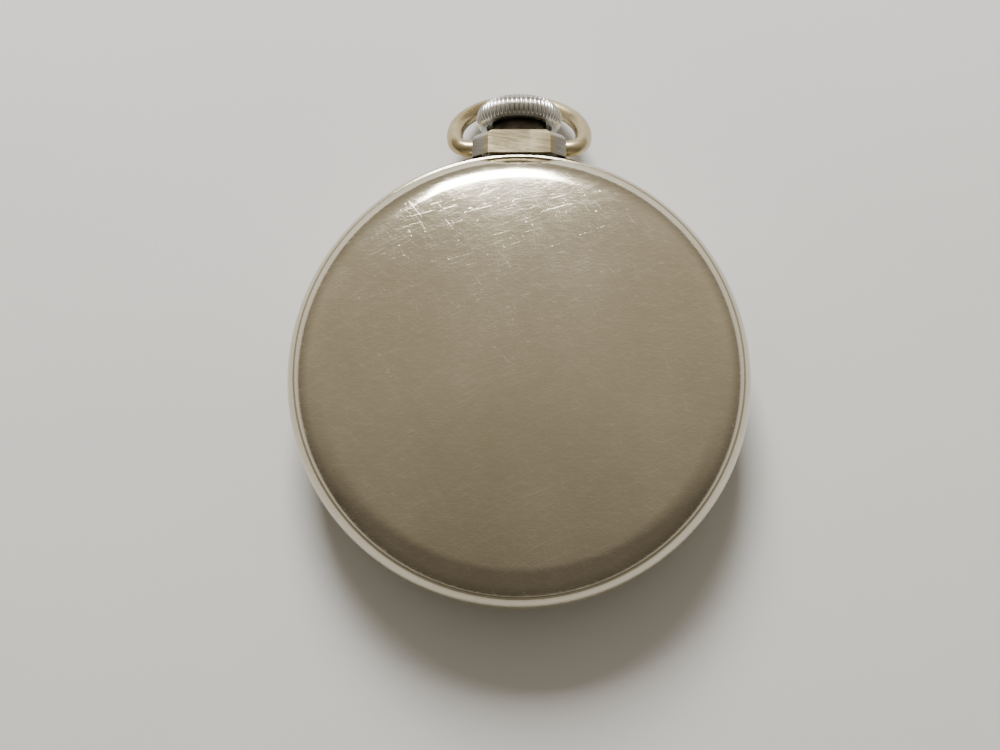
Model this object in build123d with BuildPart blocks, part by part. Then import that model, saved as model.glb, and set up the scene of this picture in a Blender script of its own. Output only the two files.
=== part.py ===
"""Open face pocket watch: screw-back steel case, hinged bow, fluted crown and a bridged movement.

The watch lies on its crystal. +Z leads out of the back cover, +Y leads out of the crown, and the
origin is on the case axis at the crystal's outer face. All sizes are in millimetres.
"""

import os
from math import asin, atan2, cos, degrees, hypot, radians, sin, sqrt

from build123d import *

os.makedirs("parts", exist_ok=True)

# Clearances between pieces that turn, slide or are assembled together
running_gap = 0.04
seam_gap = 0.03
seat_gap = 0.1
end_shake = 0.05
bore_gap = 0.03

# Heights, stacked from the crystal up to the back
crystal_t = 1.5
hand_t = 0.2
hand_gap = 0.45
dial_t = 0.7
seconds_sink_t = 0.15
motion_t = 0.25
plate_t = 1.9
flange_t = 0.5
train_space = 2.5
bridge_t = 0.7
cock_t = 0.9
winding_t = 0.45
wheel_t = 0.2
minute_hand_z = crystal_t + hand_gap
hour_hand_z = minute_hand_z + hand_t + hand_gap
seconds_hand_z = hour_hand_z + hand_t + 0.2
dial_z = seconds_hand_z + hand_t + 0.2
hour_wheel_z = dial_z + dial_t + 0.08
motion_z = hour_wheel_z + motion_t + 0.07
plate_z = motion_z + motion_t + 0.15
ledge_z = plate_z + flange_t
plate_top = plate_z + plate_t
bridge_z = plate_top + train_space
bridge_top = bridge_z + bridge_t
winding_z = bridge_top + end_shake
ratchet_top = winding_z + winding_t
cock_z = bridge_z + 0.3
cock_top = cock_z + cock_t

# Winding wheels; the stem lies where its pinion's teeth reach up into the crown wheel
winding_teeth, crown_wheel_teeth, ratchet_teeth, winding_m = 18, 22, 38, 0.3
winding_pinion_r = winding_teeth * winding_m / 2
winding_tip = winding_pinion_r + 0.7 * winding_m
winding_arbor_r = 1.3
winding_pinion_t = 0.8
winding_bite = 0.05
stem_z = winding_z + winding_bite - winding_pinion_r

# Movement and case, by radius from the middle outwards
plate_r = 21.5
plate_flange_r = plate_r + 0.4
dial_r = plate_r - 0.2
bridge_r = plate_r - 0.2
foot_w = 2.0
foot_r = bridge_r - foot_w
dial_foot_r = 0.5
dial_foot_at = dial_r - 1.8
seconds_sink_r = 4.6
front_neck_wall = 1.4
back_neck_wall = 0.5
bezel_wall = 1.2
back_shoulder_w = 2.1
band_bulge = 0.9
case_bore_r = plate_r + seat_gap
flange_bore_r = plate_flange_r + seat_gap
front_neck_r = flange_bore_r + front_neck_wall
back_bore_r = case_bore_r + 0.3
back_neck_r = back_bore_r + back_neck_wall
band_front_r = front_neck_r + bezel_wall
band_back_r = back_neck_r + back_shoulder_w
case_r = band_front_r + band_bulge
front_neck_h = 1.5
back_neck_h = 1.0
band_front_z = plate_z
band_back_z = stem_z + 2.7
edge_break = 0.1
crystal_r = band_front_r - 3.1
crystal_bevel = 0.6
rehaut_r = crystal_r - 0.8
bezel_bulge_r = 3.97
cover_wall = 0.75
cover_lip_t = 0.2
cover_dome = 1.48
shoulder_r = 5.2
shoulder_start = 38
shoulder_end = 82

# Pendant, bow and crown, outwards from the band
pendant_w = 10.6
pendant_t = 6.4
pendant_facet_w = 1.8
pendant_facet_t = 1.5
pendant_corner_r = 0.5
pendant_root_w = 8.4
pendant_root_t = 4.4
pendant_neck_r = 3.1
pendant_root_y = case_r - 2.1
pendant_end_y = case_r + 1.9
pendant_neck_y = pendant_end_y + 2.0
bow_wire_r = 0.95
bow_side_gap = 1.2
bow_ring_r = pendant_w / 2 + bow_side_gap + bow_wire_r
bow_ring_v = 3.0
bow_bend_r = 1.8
bow_pivot_y = pendant_end_y - 1.1
bow_tip_in = 1.2
crown_r = 4.875
crown_y = pendant_neck_y - 0.8
crown_h = 2.6
crown_dome = 0.2
crown_recess_r = pendant_neck_r + 0.6
crown_recess_h = 1.5
crown_flutes = 56
flute_depth = 0.17
sleeve_r = 2.0
sleeve_y = pendant_neck_y - 0.2
stem_r = 1.0
stem_square = 1.2
winding_pinion_y = plate_r - 3.8
stem_end_y = winding_pinion_y + 0.5
stem_square_y = case_r - 3.3

# Small fittings of the movement
jewel_r = 0.6
jewel_t = 0.5
pivot_r = 0.14
arbor_r = 0.35
screw_r = 0.5
screw_depth = 1.2
screw_head_r = 0.9
screw_head_t = 0.35
screw_at = bridge_r - 1.3
case_screw_head_r = 1.0
case_screw_head_t = 0.6
case_screw_at = case_bore_r - case_screw_head_r + 0.15
bridge_split = 1.6
split_gap = 0.3

# Going train and motion work: counts, modules and levels
centre_teeth, third_leaves, centre_m = 80, 10, 0.18
third_teeth, fourth_leaves, third_m = 75, 10, 0.15
fourth_teeth, escape_leaves, fourth_m = 80, 8, 0.13
barrel_teeth, centre_leaves, barrel_m = 72, 12, 0.24
cannon_teeth, minute_teeth, cannon_m = 12, 36, 0.2
minute_leaves, hour_teeth = 10, 40
escape_teeth = 15
escape_r = 3.6
centre_z = plate_top + 0.15
barrel_z = centre_z + wheel_t + seat_gap
barrel_top = bridge_z - 0.2
barrel_inner_r = 7.9
barrel_wall = 0.4
barrel_teeth_z = barrel_z + 0.3
barrel_teeth_t = 0.6
barrel_arbor_r = 0.8
fourth_z = centre_z + 0.4
escape_z = fourth_z + 0.4
third_z = escape_z + 0.45
cannon_r = 0.85
hour_pipe_r = 1.3
centre_post_r = 0.45
seconds_post_r = 0.25
minute_post_r = 0.3

# Escapement and balance
pallet_span = 4.16
pallet_lock_r = 3.84
pallet_z = escape_z - 0.05
pallet_t = 0.3
pallet_bridge_z = pallet_z + pallet_t + 2 * end_shake
pallet_bridge_t = 0.25
staff_span = 4.3
fork_reach = 3.2
roller_r = 1.15
roller_z = pallet_z + 0.4
balance_r = 6.0
balance_rim = 0.7
balance_z = roller_z + 0.4
balance_t = 0.6
balance_cut_r = balance_r + 0.9
balance_screw_h = 0.55
hairspring_z = cock_z - 0.4
hairspring_t = 0.2
hairspring_r = 3.4
collet_r = 0.7

# Hands, at nine and a half minutes past ten
hour_hand_l, minute_hand_l, seconds_hand_l = 11.0, 17.0, 4.2
hour_angle, minute_angle, seconds_angle = 304.8, 57.5, 210.0


def away(start, distance, angle):
    """The point at a distance and an angle, in degrees, from a start point."""
    return (start[0] + distance * cos(radians(angle)), start[1] + distance * sin(radians(angle)))


def bearing(start, end):
    """The angle, in degrees, of the line from one point to another."""
    return degrees(atan2(end[1] - start[1], end[0] - start[0]))


def meet(start, end, from_start, from_end):
    """The point at given distances from two others, on the left of the line between them."""
    span = hypot(end[0] - start[0], end[1] - start[1])
    along = (from_start**2 - from_end**2 + span**2) / (2 * span)
    side = degrees(atan2(sqrt(from_start**2 - along**2), along))
    return away(start, from_start, bearing(start, end) + side)


def mesh_phase(start, teeth, phase, end, end_teeth):
    """The phase that brings a gap of the second gear to a tooth of the first one."""
    line = bearing(start, end)
    return line + 180 - 360 / end_teeth * (0.5 - (line - phase) * teeth / 360)


def tooth_ring(at, radius, tip, root, teeth, phase, root_width, tip_width):
    """Corners of a toothed outline; the widths are shares of the pitch."""
    pitch = 360 / teeth
    corners = []
    for index in range(teeth):
        middle = phase + index * pitch
        corners.append(away(at, radius - root, middle - root_width * pitch / 2))
        corners.append(away(at, radius + tip, middle - tip_width * pitch / 2))
        corners.append(away(at, radius + tip, middle + tip_width * pitch / 2))
        corners.append(away(at, radius - root, middle + root_width * pitch / 2))
    return corners


def toothed(corners, low, thickness):
    """Add a flat toothed piece that fills the outline."""
    with BuildSketch(Plane.XY.offset(low)) as outline:
        with BuildLine():
            Polyline(*corners, close=True)
        make_face()
    extrude(outline.sketch, amount=thickness)


def wheel_teeth(at, teeth, module, phase, low, thickness=wheel_t):
    """Add a wheel's toothed disc."""
    ring = tooth_ring(at, teeth * module / 2, module, 1.25 * module, teeth, phase, 0.56, 0.2)
    toothed(ring, low, thickness)


def pinion_teeth(at, teeth, module, phase, low, thickness):
    """Add a pinion's leaves."""
    ring = tooth_ring(
        at, teeth * module / 2, 0.75 * module, 1.35 * module, teeth, phase, 0.36, 0.22
    )
    toothed(ring, low, thickness)


def turned(at, *steps, mode=Mode.ADD):
    """Add or cut round steps on one vertical axis, each given as low z, high z and radius."""
    for low, high, radius in steps:
        with BuildSketch(Plane.XY.offset(low)) as disc:
            with Locations(at):
                Circle(radius)
        extrude(disc.sketch, amount=high - low, mode=mode)


def crossed_out(at, low, thickness, hub_r, rim_r, arms, arm_w):
    """Cut the windows between a wheel's arms."""
    with BuildSketch(Plane.XY.offset(low)) as windows:
        with Locations(at):
            Circle(rim_r)
            Circle(hub_r, mode=Mode.SUBTRACT)
            with PolarLocations(0, arms):
                Rectangle(
                    rim_r, arm_w, align=(Align.MIN, Align.CENTER), mode=Mode.SUBTRACT
                )
    extrude(windows.sketch, amount=thickness, mode=Mode.SUBTRACT)


def sector(low, thickness, inner_r, outer_r, middle, spread, mode=Mode.ADD):
    """Add or cut a block between two radii and two angles about the case axis."""
    edges = [middle - spread / 2, middle, middle + spread / 2]
    outer = [away((0, 0), outer_r, angle) for angle in edges]
    inner = [away((0, 0), inner_r, angle) for angle in edges]
    with BuildSketch(Plane.XY.offset(low)) as block:
        with BuildLine():
            ThreePointArc(*outer)
            Line(outer[2], inner[2])
            ThreePointArc(*reversed(inner))
            Line(inner[0], outer[0])
        make_face()
    extrude(block.sketch, amount=thickness, mode=mode)


def spiral_strip(at, low, height, start_r, end_r, turns, strip):
    """Add a flat spiral spring of a given strip thickness."""
    steps = 36 * turns
    outside = []
    inside = []
    for index in range(steps + 1):
        angle = 10 * index
        radius = start_r + (end_r - start_r) * index / steps
        outside.append(away(at, radius + strip / 2, angle))
        inside.append(away(at, radius - strip / 2, angle))
    with BuildSketch(Plane.XY.offset(low)) as coil:
        with BuildLine():
            Spline(*outside)
            Line(outside[-1], inside[-1])
            Spline(*reversed(inside))
            Line(inside[0], outside[0])
        make_face()
    extrude(coil.sketch, amount=height)


def across_y(low_y, high_y, radius, mode=Mode.ADD):
    """Add or cut a round step on the stem's axis."""
    with BuildSketch(Plane.XZ.offset(-low_y)) as disc:
        with Locations((0, stem_z)):
            Circle(radius)
    extrude(disc.sketch, amount=low_y - high_y, mode=mode)


def octagon(half_w, half_t, facet_w, facet_t):
    """Corners of a facetted block's section about the stem's axis."""
    right = [
        (half_w, facet_t - half_t),
        (half_w, half_t - facet_t),
        (half_w - facet_w, half_t),
    ]
    quarter = right + [(-x, z) for x, z in reversed(right)]
    corners = quarter + [(facet_w - half_w, -half_t), (half_w - facet_w, -half_t)]
    return [(x, stem_z + z) for x, z in corners]


def hand(low, middle, angle, length, tail, hub_r, bore_r, width):
    """Add a tapered hand that turns about a middle and points at an angle of the dial."""
    along = away((0, 0), 1, 90 + angle)
    with BuildSketch(Plane((*middle, low), x_dir=(*along, 0), z_dir=(0, 0, 1))) as blade:
        with BuildLine():
            Polyline(
                (-tail, -width * 0.35),
                (length * 0.45, -width * 0.6),
                (length, -width * 0.12),
                (length, width * 0.12),
                (length * 0.45, width * 0.6),
                (-tail, width * 0.35),
                close=True,
            )
        make_face()
        Circle(hub_r)
        Circle(bore_r, mode=Mode.SUBTRACT)
    extrude(blade.sketch, amount=hand_t)


# Places of the arbors, seen from the back
centre_at = (0, 0)
fourth_at = (0, -11.0)
third_at = meet(
    centre_at,
    fourth_at,
    (centre_teeth + third_leaves) * centre_m / 2,
    (third_teeth + fourth_leaves) * third_m / 2,
)
escape_at = away(fourth_at, (fourth_teeth + escape_leaves) * fourth_m / 2, 160)
pallet_at = away(escape_at, pallet_span, 156.2)
balance_at = away(pallet_at, staff_span, 110.4)
barrel_at = away(centre_at, (barrel_teeth + centre_leaves) * barrel_m / 2, 53.5)
winding_span = (ratchet_teeth + crown_wheel_teeth) * winding_m / 2
crown_wheel_at = (0, barrel_at[1] + sqrt(winding_span**2 - barrel_at[0] ** 2))
minute_at = away(centre_at, (cannon_teeth + minute_teeth) * cannon_m / 2, 30)
minute_m = 2 * hypot(*minute_at) / (minute_leaves + hour_teeth)
cock_angle = bearing(centre_at, balance_at)
pallet_foot = away(pallet_at, 5.0, bearing(centre_at, pallet_at))
click_at = away(barrel_at, 8.2, 20)
lower_jewel_z = plate_top - jewel_t
barrel_screws = [away(centre_at, screw_at, angle) for angle in (18, 74, 160)]
train_screws = [away(centre_at, screw_at, angle) for angle in (238, 284, 340)]
cock_screw = away(centre_at, screw_at, cock_angle)
case_screws_at = [away(centre_at, case_screw_at, angle) for angle in (40, 140, 312)]
dial_feet_at = [away(centre_at, dial_foot_at, angle) for angle in (60, 180, 300)]

# Case outlines, as points of radius and height
shoulder_at = away((band_back_r, band_back_z), shoulder_r, 180 + shoulder_start)
crest = away(shoulder_at, shoulder_r, shoulder_end)
lip_z = band_back_z + seam_gap + cover_lip_t
lip_rise = degrees(asin((lip_z - shoulder_at[1]) / shoulder_r))
lip_top = away(shoulder_at, shoulder_r, lip_rise)
shoulder_mid = away(shoulder_at, shoulder_r, (lip_rise + shoulder_end) / 2)
dome_r = (crest[0] ** 2 + cover_dome**2) / (2 * cover_dome)
back_z = crest[1] + cover_dome


def dome_height(radius):
    """Height of the back's outer dome at a radius."""
    return back_z - dome_r + sqrt(dome_r**2 - radius**2)


# ---- Case ----
with BuildPart() as case_band:
    with BuildSketch(Plane.XZ) as band_section:
        with BuildLine():
            ThreePointArc(
                (band_front_r, band_front_z + edge_break),
                (case_r, stem_z),
                (band_back_r, band_back_z - edge_break),
            )
            Polyline(
                (band_back_r, band_back_z - edge_break),
                (band_back_r - edge_break, band_back_z),
                (back_neck_r, band_back_z),
                (back_neck_r, band_back_z + back_neck_h),
                (back_bore_r, band_back_z + back_neck_h),
                (back_bore_r, bridge_z),
                (case_bore_r, bridge_z),
                (case_bore_r, ledge_z),
                (flange_bore_r, ledge_z),
                (flange_bore_r, band_front_z - front_neck_h),
                (front_neck_r, band_front_z - front_neck_h),
                (front_neck_r, band_front_z),
                (band_front_r - edge_break, band_front_z),
                (band_front_r, band_front_z + edge_break),
            )
        make_face()
    revolve(axis=Axis.Z)
    across_y(plate_r - 1, case_r + 1, winding_arbor_r + running_gap, mode=Mode.SUBTRACT)
    with BuildSketch(Plane.XZ.offset(-pendant_root_y)):
        with Locations((0, stem_z)):
            Rectangle(pendant_root_w, pendant_root_t)
    extrude(amount=pendant_root_y - case_r - 1, mode=Mode.SUBTRACT)
case_band.part.label = "case_band"
export_step(case_band.part, "parts/case_band.step")

pendant_low_y = band_front_r + seat_gap
with BuildPart() as band_envelope:
    with BuildSketch(Plane.XZ):
        with BuildLine():
            ThreePointArc(
                (band_front_r, band_front_z), (case_r, stem_z), (band_back_r, band_back_z)
            )
            Polyline(
                (band_back_r, band_back_z),
                (0, band_back_z),
                (0, band_front_z),
                (band_front_r, band_front_z),
            )
        make_face()
    revolve(axis=Axis.Z)

with BuildPart() as pendant:
    half_w, half_t = pendant_w / 2, pendant_t / 2
    with BuildSketch(Plane.XZ.offset(-pendant_low_y)):
        with BuildLine():
            Polyline(*octagon(half_w, half_t, pendant_facet_w, pendant_facet_t), close=True)
        make_face()
    extrude(amount=pendant_low_y - pendant_end_y)
    fillet(faces().sort_by(Axis.Y)[-1].edges(), radius=pendant_corner_r)
    add(band_envelope.part, mode=Mode.SUBTRACT)
    with BuildSketch(Plane.XZ.offset(-pendant_root_y)):
        with Locations((0, stem_z)):
            Rectangle(pendant_root_w, pendant_root_t)
    extrude(amount=pendant_root_y - pendant_end_y + 1)
    across_y(pendant_end_y - 1, pendant_neck_y, pendant_neck_r)
    across_y(pendant_root_y - 1, pendant_neck_y, sleeve_r, mode=Mode.SUBTRACT)
    for side in (-1, 1):
        hole_x = side * (half_w - bow_tip_in - end_shake)
        with BuildSketch(Plane((hole_x, bow_pivot_y, stem_z), z_dir=(side, 0, 0))):
            Circle(bow_wire_r + running_gap)
        extrude(amount=half_w, mode=Mode.SUBTRACT)
pendant.part.label = "pendant"
export_step(pendant.part, "parts/pendant.step")

with BuildPart() as sleeve:
    across_y(pendant_root_y, sleeve_y, sleeve_r)
    across_y(pendant_root_y, sleeve_y, stem_r + running_gap, mode=Mode.SUBTRACT)
sleeve.part.label = "sleeve"
export_step(sleeve.part, "parts/sleeve.step")

with BuildPart() as back_cover:
    with BuildSketch(Plane.XZ):
        inner_z = band_back_z + back_neck_h + seat_gap
        inner_crest = away(shoulder_at, shoulder_r - cover_wall, shoulder_end)
        with BuildLine():
            ThreePointArc(lip_top, shoulder_mid, crest)
            ThreePointArc(
                crest, (crest[0] / 2, dome_height(crest[0] / 2)), (0, back_z)
            )
            Line((0, back_z), (0, back_z - cover_wall))
            ThreePointArc(
                (0, back_z - cover_wall),
                (inner_crest[0] / 2, dome_height(inner_crest[0] / 2) - cover_wall),
                inner_crest,
            )
            Polyline(
                inner_crest,
                (back_neck_r + running_gap, inner_z),
                (back_neck_r + running_gap, band_back_z + seam_gap),
                (band_back_r, band_back_z + seam_gap),
                (band_back_r, lip_z),
                lip_top,
            )
        make_face()
    revolve(axis=Axis.Z)
back_cover.part.label = "back_cover"
export_step(back_cover.part, "parts/back_cover.step")

with BuildPart() as bezel:
    with BuildSketch(Plane.XZ):
        bezel_z = band_front_z - seam_gap
        bulge_at = (band_front_r - bezel_bulge_r + edge_break, bezel_z - edge_break)
        crystal_edge = (crystal_r, crystal_bevel + 0.3)
        neck_z = band_front_z - front_neck_h - seat_gap
        with BuildLine():
            ThreePointArc(
                (band_front_r, bezel_z - edge_break),
                away(bulge_at, bezel_bulge_r, -38),
                (crystal_r + 0.45, crystal_bevel + 0.2),
            )
            Polyline(
                (crystal_r + 0.45, crystal_bevel + 0.2),
                crystal_edge,
                (crystal_r, crystal_t),
                (rehaut_r, crystal_t),
                (rehaut_r + 0.2, neck_z),
                (front_neck_r + running_gap, neck_z),
                (front_neck_r + running_gap, bezel_z),
                (band_front_r - edge_break, bezel_z),
                (band_front_r, bezel_z - edge_break),
            )
        make_face()
    revolve(axis=Axis.Z)
bezel.part.label = "bezel"
export_step(bezel.part, "parts/bezel.step")

with BuildPart() as crystal:
    turned(centre_at, (0, crystal_t, crystal_r))
    chamfer(faces().sort_by(Axis.Z)[0].edges(), length=crystal_bevel)
crystal.part.label = "crystal"
export_step(crystal.part, "parts/crystal.step")

with BuildPart() as case_screws:
    for place in case_screws_at:
        turned(
            place,
            (plate_top - 0.8, bridge_z, screw_r),
            (bridge_z, bridge_z + case_screw_head_t, case_screw_head_r),
        )
case_screws.part.label = "case_screws"
export_step(case_screws.part, "parts/case_screws.step")

# ---- Bow: one round wire, drooped until its end rests on the table ----
bow_droop = degrees(asin((stem_z - bow_wire_r - seam_gap) / (bow_ring_v + bow_ring_r)))
bow_turn = Plane(
    (0, bow_pivot_y, stem_z),
    x_dir=(1, 0, 0),
    z_dir=(0, sin(radians(bow_droop)), cos(radians(bow_droop))),
)
bend_x = sqrt((bow_ring_r - bow_bend_r) ** 2 - (bow_ring_v - bow_bend_r) ** 2)
join_angle = degrees(atan2(bow_bend_r - bow_ring_v, bend_x))
join = away((0, bow_ring_v), bow_ring_r, join_angle)
bend_mid = away((bend_x, bow_bend_r), bow_bend_r, (join_angle - 90) / 2)
bow_tip_x = pendant_w / 2 - bow_tip_in
with BuildPart() as bow:
    with BuildLine(bow_turn):
        Line((bow_tip_x, 0), (bend_x, 0))
        ThreePointArc((bend_x, 0), bend_mid, join)
        ThreePointArc(join, (0, bow_ring_v + bow_ring_r), (-join[0], join[1]))
        ThreePointArc((-join[0], join[1]), (-bend_mid[0], bend_mid[1]), (-bend_x, 0))
        Line((-bend_x, 0), (-bow_tip_x, 0))
    with BuildSketch(Plane((bow_tip_x, bow_pivot_y, stem_z), z_dir=(1, 0, 0))):
        Circle(bow_wire_r)
    sweep()
bow.part.label = "bow"
export_step(bow.part, "parts/bow.step")

# ---- Crown, stem and winding work ----
stem_axis = Axis((0, 0, stem_z), (0, 1, 0))
crown_end = crown_y + crown_h
with BuildPart() as crown_turned:
    with BuildSketch(Plane.XY.offset(stem_z)):
        with BuildLine():
            ThreePointArc(
                (crown_r - 0.6, crown_y), (crown_r, crown_y + 1.1), (crown_r - 0.75, crown_end)
            )
            ThreePointArc(
                (crown_r - 0.75, crown_end),
                (crown_r / 2, crown_end + crown_dome * 0.75),
                (0, crown_end + crown_dome),
            )
            Polyline(
                (0, crown_end + crown_dome),
                (0, crown_y + crown_recess_h),
                (crown_recess_r, crown_y + crown_recess_h),
                (crown_recess_r, crown_y),
                (crown_r - 0.6, crown_y),
            )
        make_face()
    revolve(axis=stem_axis)

with BuildPart() as crown:
    with BuildSketch(Plane.XZ.offset(-crown_y)):
        with BuildLine():
            Polyline(
                *tooth_ring(
                    (0, stem_z), crown_r, 0.05, flute_depth, crown_flutes, 1, 0.62, 0.3
                ),
                close=True,
            )
        make_face()
    extrude(amount=-crown_h - crown_dome)
    add(crown_turned.part, mode=Mode.INTERSECT)
crown.part.label = "crown"
export_step(crown.part, "parts/crown.step")

with BuildPart() as stem:
    across_y(stem_square_y, crown_y + crown_recess_h, stem_r)
    with BuildSketch(Plane.XZ.offset(-stem_end_y)):
        with Locations((0, stem_z)):
            Rectangle(stem_square, stem_square)
    extrude(amount=stem_end_y - stem_square_y)
stem.part.label = "stem"
export_step(stem.part, "parts/stem.step")

winding_arbor_y = winding_pinion_y - 0.4
arbor_end_y = plate_r - 0.1
with BuildPart() as winding_arbor:
    across_y(winding_arbor_y, arbor_end_y, winding_arbor_r)
    with BuildSketch(Plane.XZ.offset(-stem_end_y + seat_gap)):
        with Locations((0, stem_z)):
            Rectangle(stem_square + 2 * running_gap, stem_square + 2 * running_gap)
    extrude(amount=stem_end_y - arbor_end_y - 1, mode=Mode.SUBTRACT)
winding_arbor.part.label = "winding_arbor"
export_step(winding_arbor.part, "parts/winding_arbor.step")

crown_wheel_phase = mesh_phase(barrel_at, ratchet_teeth, 0, crown_wheel_at, crown_wheel_teeth)
face_shift = (90 - crown_wheel_phase) * crown_wheel_teeth / 360
winding_phase = 90 + 360 / winding_teeth * (0.5 - face_shift)
with BuildPart() as winding_pinion:
    with BuildSketch(Plane.XZ.offset(-winding_pinion_y)):
        with BuildLine():
            Polyline(
                *tooth_ring(
                    (0, stem_z),
                    winding_pinion_r,
                    0.7 * winding_m,
                    0.9 * winding_m,
                    winding_teeth,
                    winding_phase,
                    0.34,
                    0.2,
                ),
                close=True,
            )
        make_face()
        with Locations((0, stem_z)):
            Circle(winding_arbor_r, mode=Mode.SUBTRACT)
    extrude(amount=-winding_pinion_t)
winding_pinion.part.label = "winding_pinion"
export_step(winding_pinion.part, "parts/winding_pinion.step")

crown_wheel_hub = 1.5
with BuildPart() as crown_wheel:
    wheel_teeth(
        crown_wheel_at, crown_wheel_teeth, winding_m, crown_wheel_phase, winding_z, winding_t
    )
    bore_top = ratchet_top + 1
    turned(
        crown_wheel_at, (winding_z - 1, bore_top, crown_wheel_hub + running_gap), mode=Mode.SUBTRACT
    )
crown_wheel.part.label = "crown_wheel"
export_step(crown_wheel.part, "parts/crown_wheel.step")

with BuildPart() as crown_wheel_screw:
    turned(
        crown_wheel_at,
        (bridge_z + 0.1, bridge_top, screw_r),
        (bridge_top, ratchet_top + end_shake, crown_wheel_hub),
        (ratchet_top + end_shake, ratchet_top + 0.35, crown_wheel_hub + 0.5),
    )
crown_wheel_screw.part.label = "crown_wheel_screw"
export_step(crown_wheel_screw.part, "parts/crown_wheel_screw.step")

ratchet_seat_r = 0.9
with BuildPart() as ratchet_wheel:
    wheel_teeth(barrel_at, ratchet_teeth, winding_m, 0, winding_z, winding_t)
    turned(barrel_at, (winding_z, ratchet_top, ratchet_seat_r), mode=Mode.SUBTRACT)
ratchet_wheel.part.label = "ratchet_wheel"
export_step(ratchet_wheel.part, "parts/ratchet_wheel.step")

with BuildPart() as ratchet_screw:
    turned(
        barrel_at,
        (ratchet_top - 1.2, ratchet_top, 0.4),
        (ratchet_top, ratchet_top + 0.35, 1.6),
    )
ratchet_screw.part.label = "ratchet_screw"
export_step(ratchet_screw.part, "parts/ratchet_screw.step")

# The click's beak rests just outside the ratchet wheel's tips
ratchet_tip = ratchet_teeth * winding_m / 2 + winding_m
beak = away(barrel_at, ratchet_tip + 0.08, -16)
click_line = bearing(click_at, beak)
with BuildPart() as click:
    with BuildSketch(Plane.XY.offset(winding_z)):
        with BuildLine():
            Polyline(
                away(click_at, 1.0, click_line + 90),
                beak,
                away(click_at, 1.0, click_line - 90),
                close=True,
            )
        make_face()
        with Locations(click_at):
            Circle(1.15)
            Circle(screw_r + running_gap, mode=Mode.SUBTRACT)
    extrude(amount=winding_t)
click.part.label = "click"
export_step(click.part, "parts/click.step")

with BuildPart() as click_screw:
    turned(
        click_at,
        (bridge_z + 0.1, ratchet_top + end_shake, 0.5),
        (ratchet_top + end_shake, ratchet_top + 0.35, 0.95),
    )
click_screw.part.label = "click_screw"
export_step(click_screw.part, "parts/click_screw.step")

with BuildPart() as click_spring:
    spring_at = screw_at - screw_head_r - 0.25
    sector(winding_z, winding_t, spring_at - 0.1, spring_at + 0.1, 36, 28)
    spring_foot = away(centre_at, spring_at, 22)
    turned(spring_foot, (bridge_top, ratchet_top, 0.45))
click_spring.part.label = "click_spring"
export_step(click_spring.part, "parts/click_spring.step")

# ---- Plates and bridges ----
arbor_points = [third_at, fourth_at, escape_at, pallet_at, balance_at]
with BuildPart() as main_plate:
    turned(centre_at, (plate_z, ledge_z, plate_flange_r), (ledge_z, plate_top, plate_r))
    bearing_y = plate_r - 2.2
    with BuildSketch(Plane.XY.offset(plate_top)):
        with Locations((0, bearing_y)):
            Rectangle(4.8, 2.0, align=(Align.CENTER, Align.MIN))
    extrude(amount=bridge_z - plate_top - seat_gap)
    across_y(winding_arbor_y - 0.2, plate_r + 1, winding_arbor_r + running_gap, Mode.SUBTRACT)
    with BuildSketch(Plane.XY.offset(plate_z)):
        with Locations((0, winding_pinion_y - seat_gap)):
            Rectangle(
                2 * winding_tip + 0.4,
                winding_pinion_t + 2 * seat_gap,
                align=(Align.CENTER, Align.MIN),
            )
    extrude(amount=plate_top - plate_z, mode=Mode.SUBTRACT)
    for place in arbor_points:
        turned(place, (plate_z, plate_top, jewel_r), mode=Mode.SUBTRACT)
    turned(centre_at, (plate_z, plate_top, jewel_r), mode=Mode.SUBTRACT)
    turned(
        barrel_at, (plate_top - 1.0, plate_top, barrel_arbor_r + running_gap), mode=Mode.SUBTRACT
    )
    for place in barrel_screws + train_screws + [cock_screw, pallet_foot] + case_screws_at:
        turned(place, (plate_top - screw_depth, plate_top, screw_r), mode=Mode.SUBTRACT)
    for place in dial_feet_at:
        turned(place, (plate_z, ledge_z + 0.3, dial_foot_r), mode=Mode.SUBTRACT)
    turned(minute_at, (hour_wheel_z, plate_z, minute_post_r))
    for turn in (-90, 90):
        fork_side = away(away(pallet_at, 2.2, bearing(pallet_at, balance_at)), 0.66, 110.4 + turn)
        turned(fork_side, (plate_top, pallet_z + 0.2, 0.15))
main_plate.part.label = "main_plate"
export_step(main_plate.part, "parts/main_plate.step")


def balance_clearance(low, high):
    """Cut the round well of the balance and the slot that takes the cock's foot."""
    turned(balance_at, (low, high, balance_cut_r), mode=Mode.SUBTRACT)
    outward = away((0, 0), 1, cock_angle)
    with BuildSketch(Plane((*balance_at, low), x_dir=(*outward, 0), z_dir=(0, 0, 1))) as slot:
        Rectangle(20, 2 * balance_cut_r, align=(Align.MIN, Align.CENTER))
    extrude(slot.sketch, amount=high - low, mode=Mode.SUBTRACT)


def half_disc(split, side):
    """Add the half of a bridge's disc that lies on one side of the split line."""
    with BuildSketch(Plane.XY.offset(bridge_z)) as half:
        Circle(bridge_r)
        with Locations((0, split)):
            Rectangle(
                4 * bridge_r,
                2 * bridge_r,
                align=(Align.CENTER, Align.MIN if side > 0 else Align.MAX),
                mode=Mode.INTERSECT,
            )
    extrude(half.sketch, amount=bridge_t)


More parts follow.
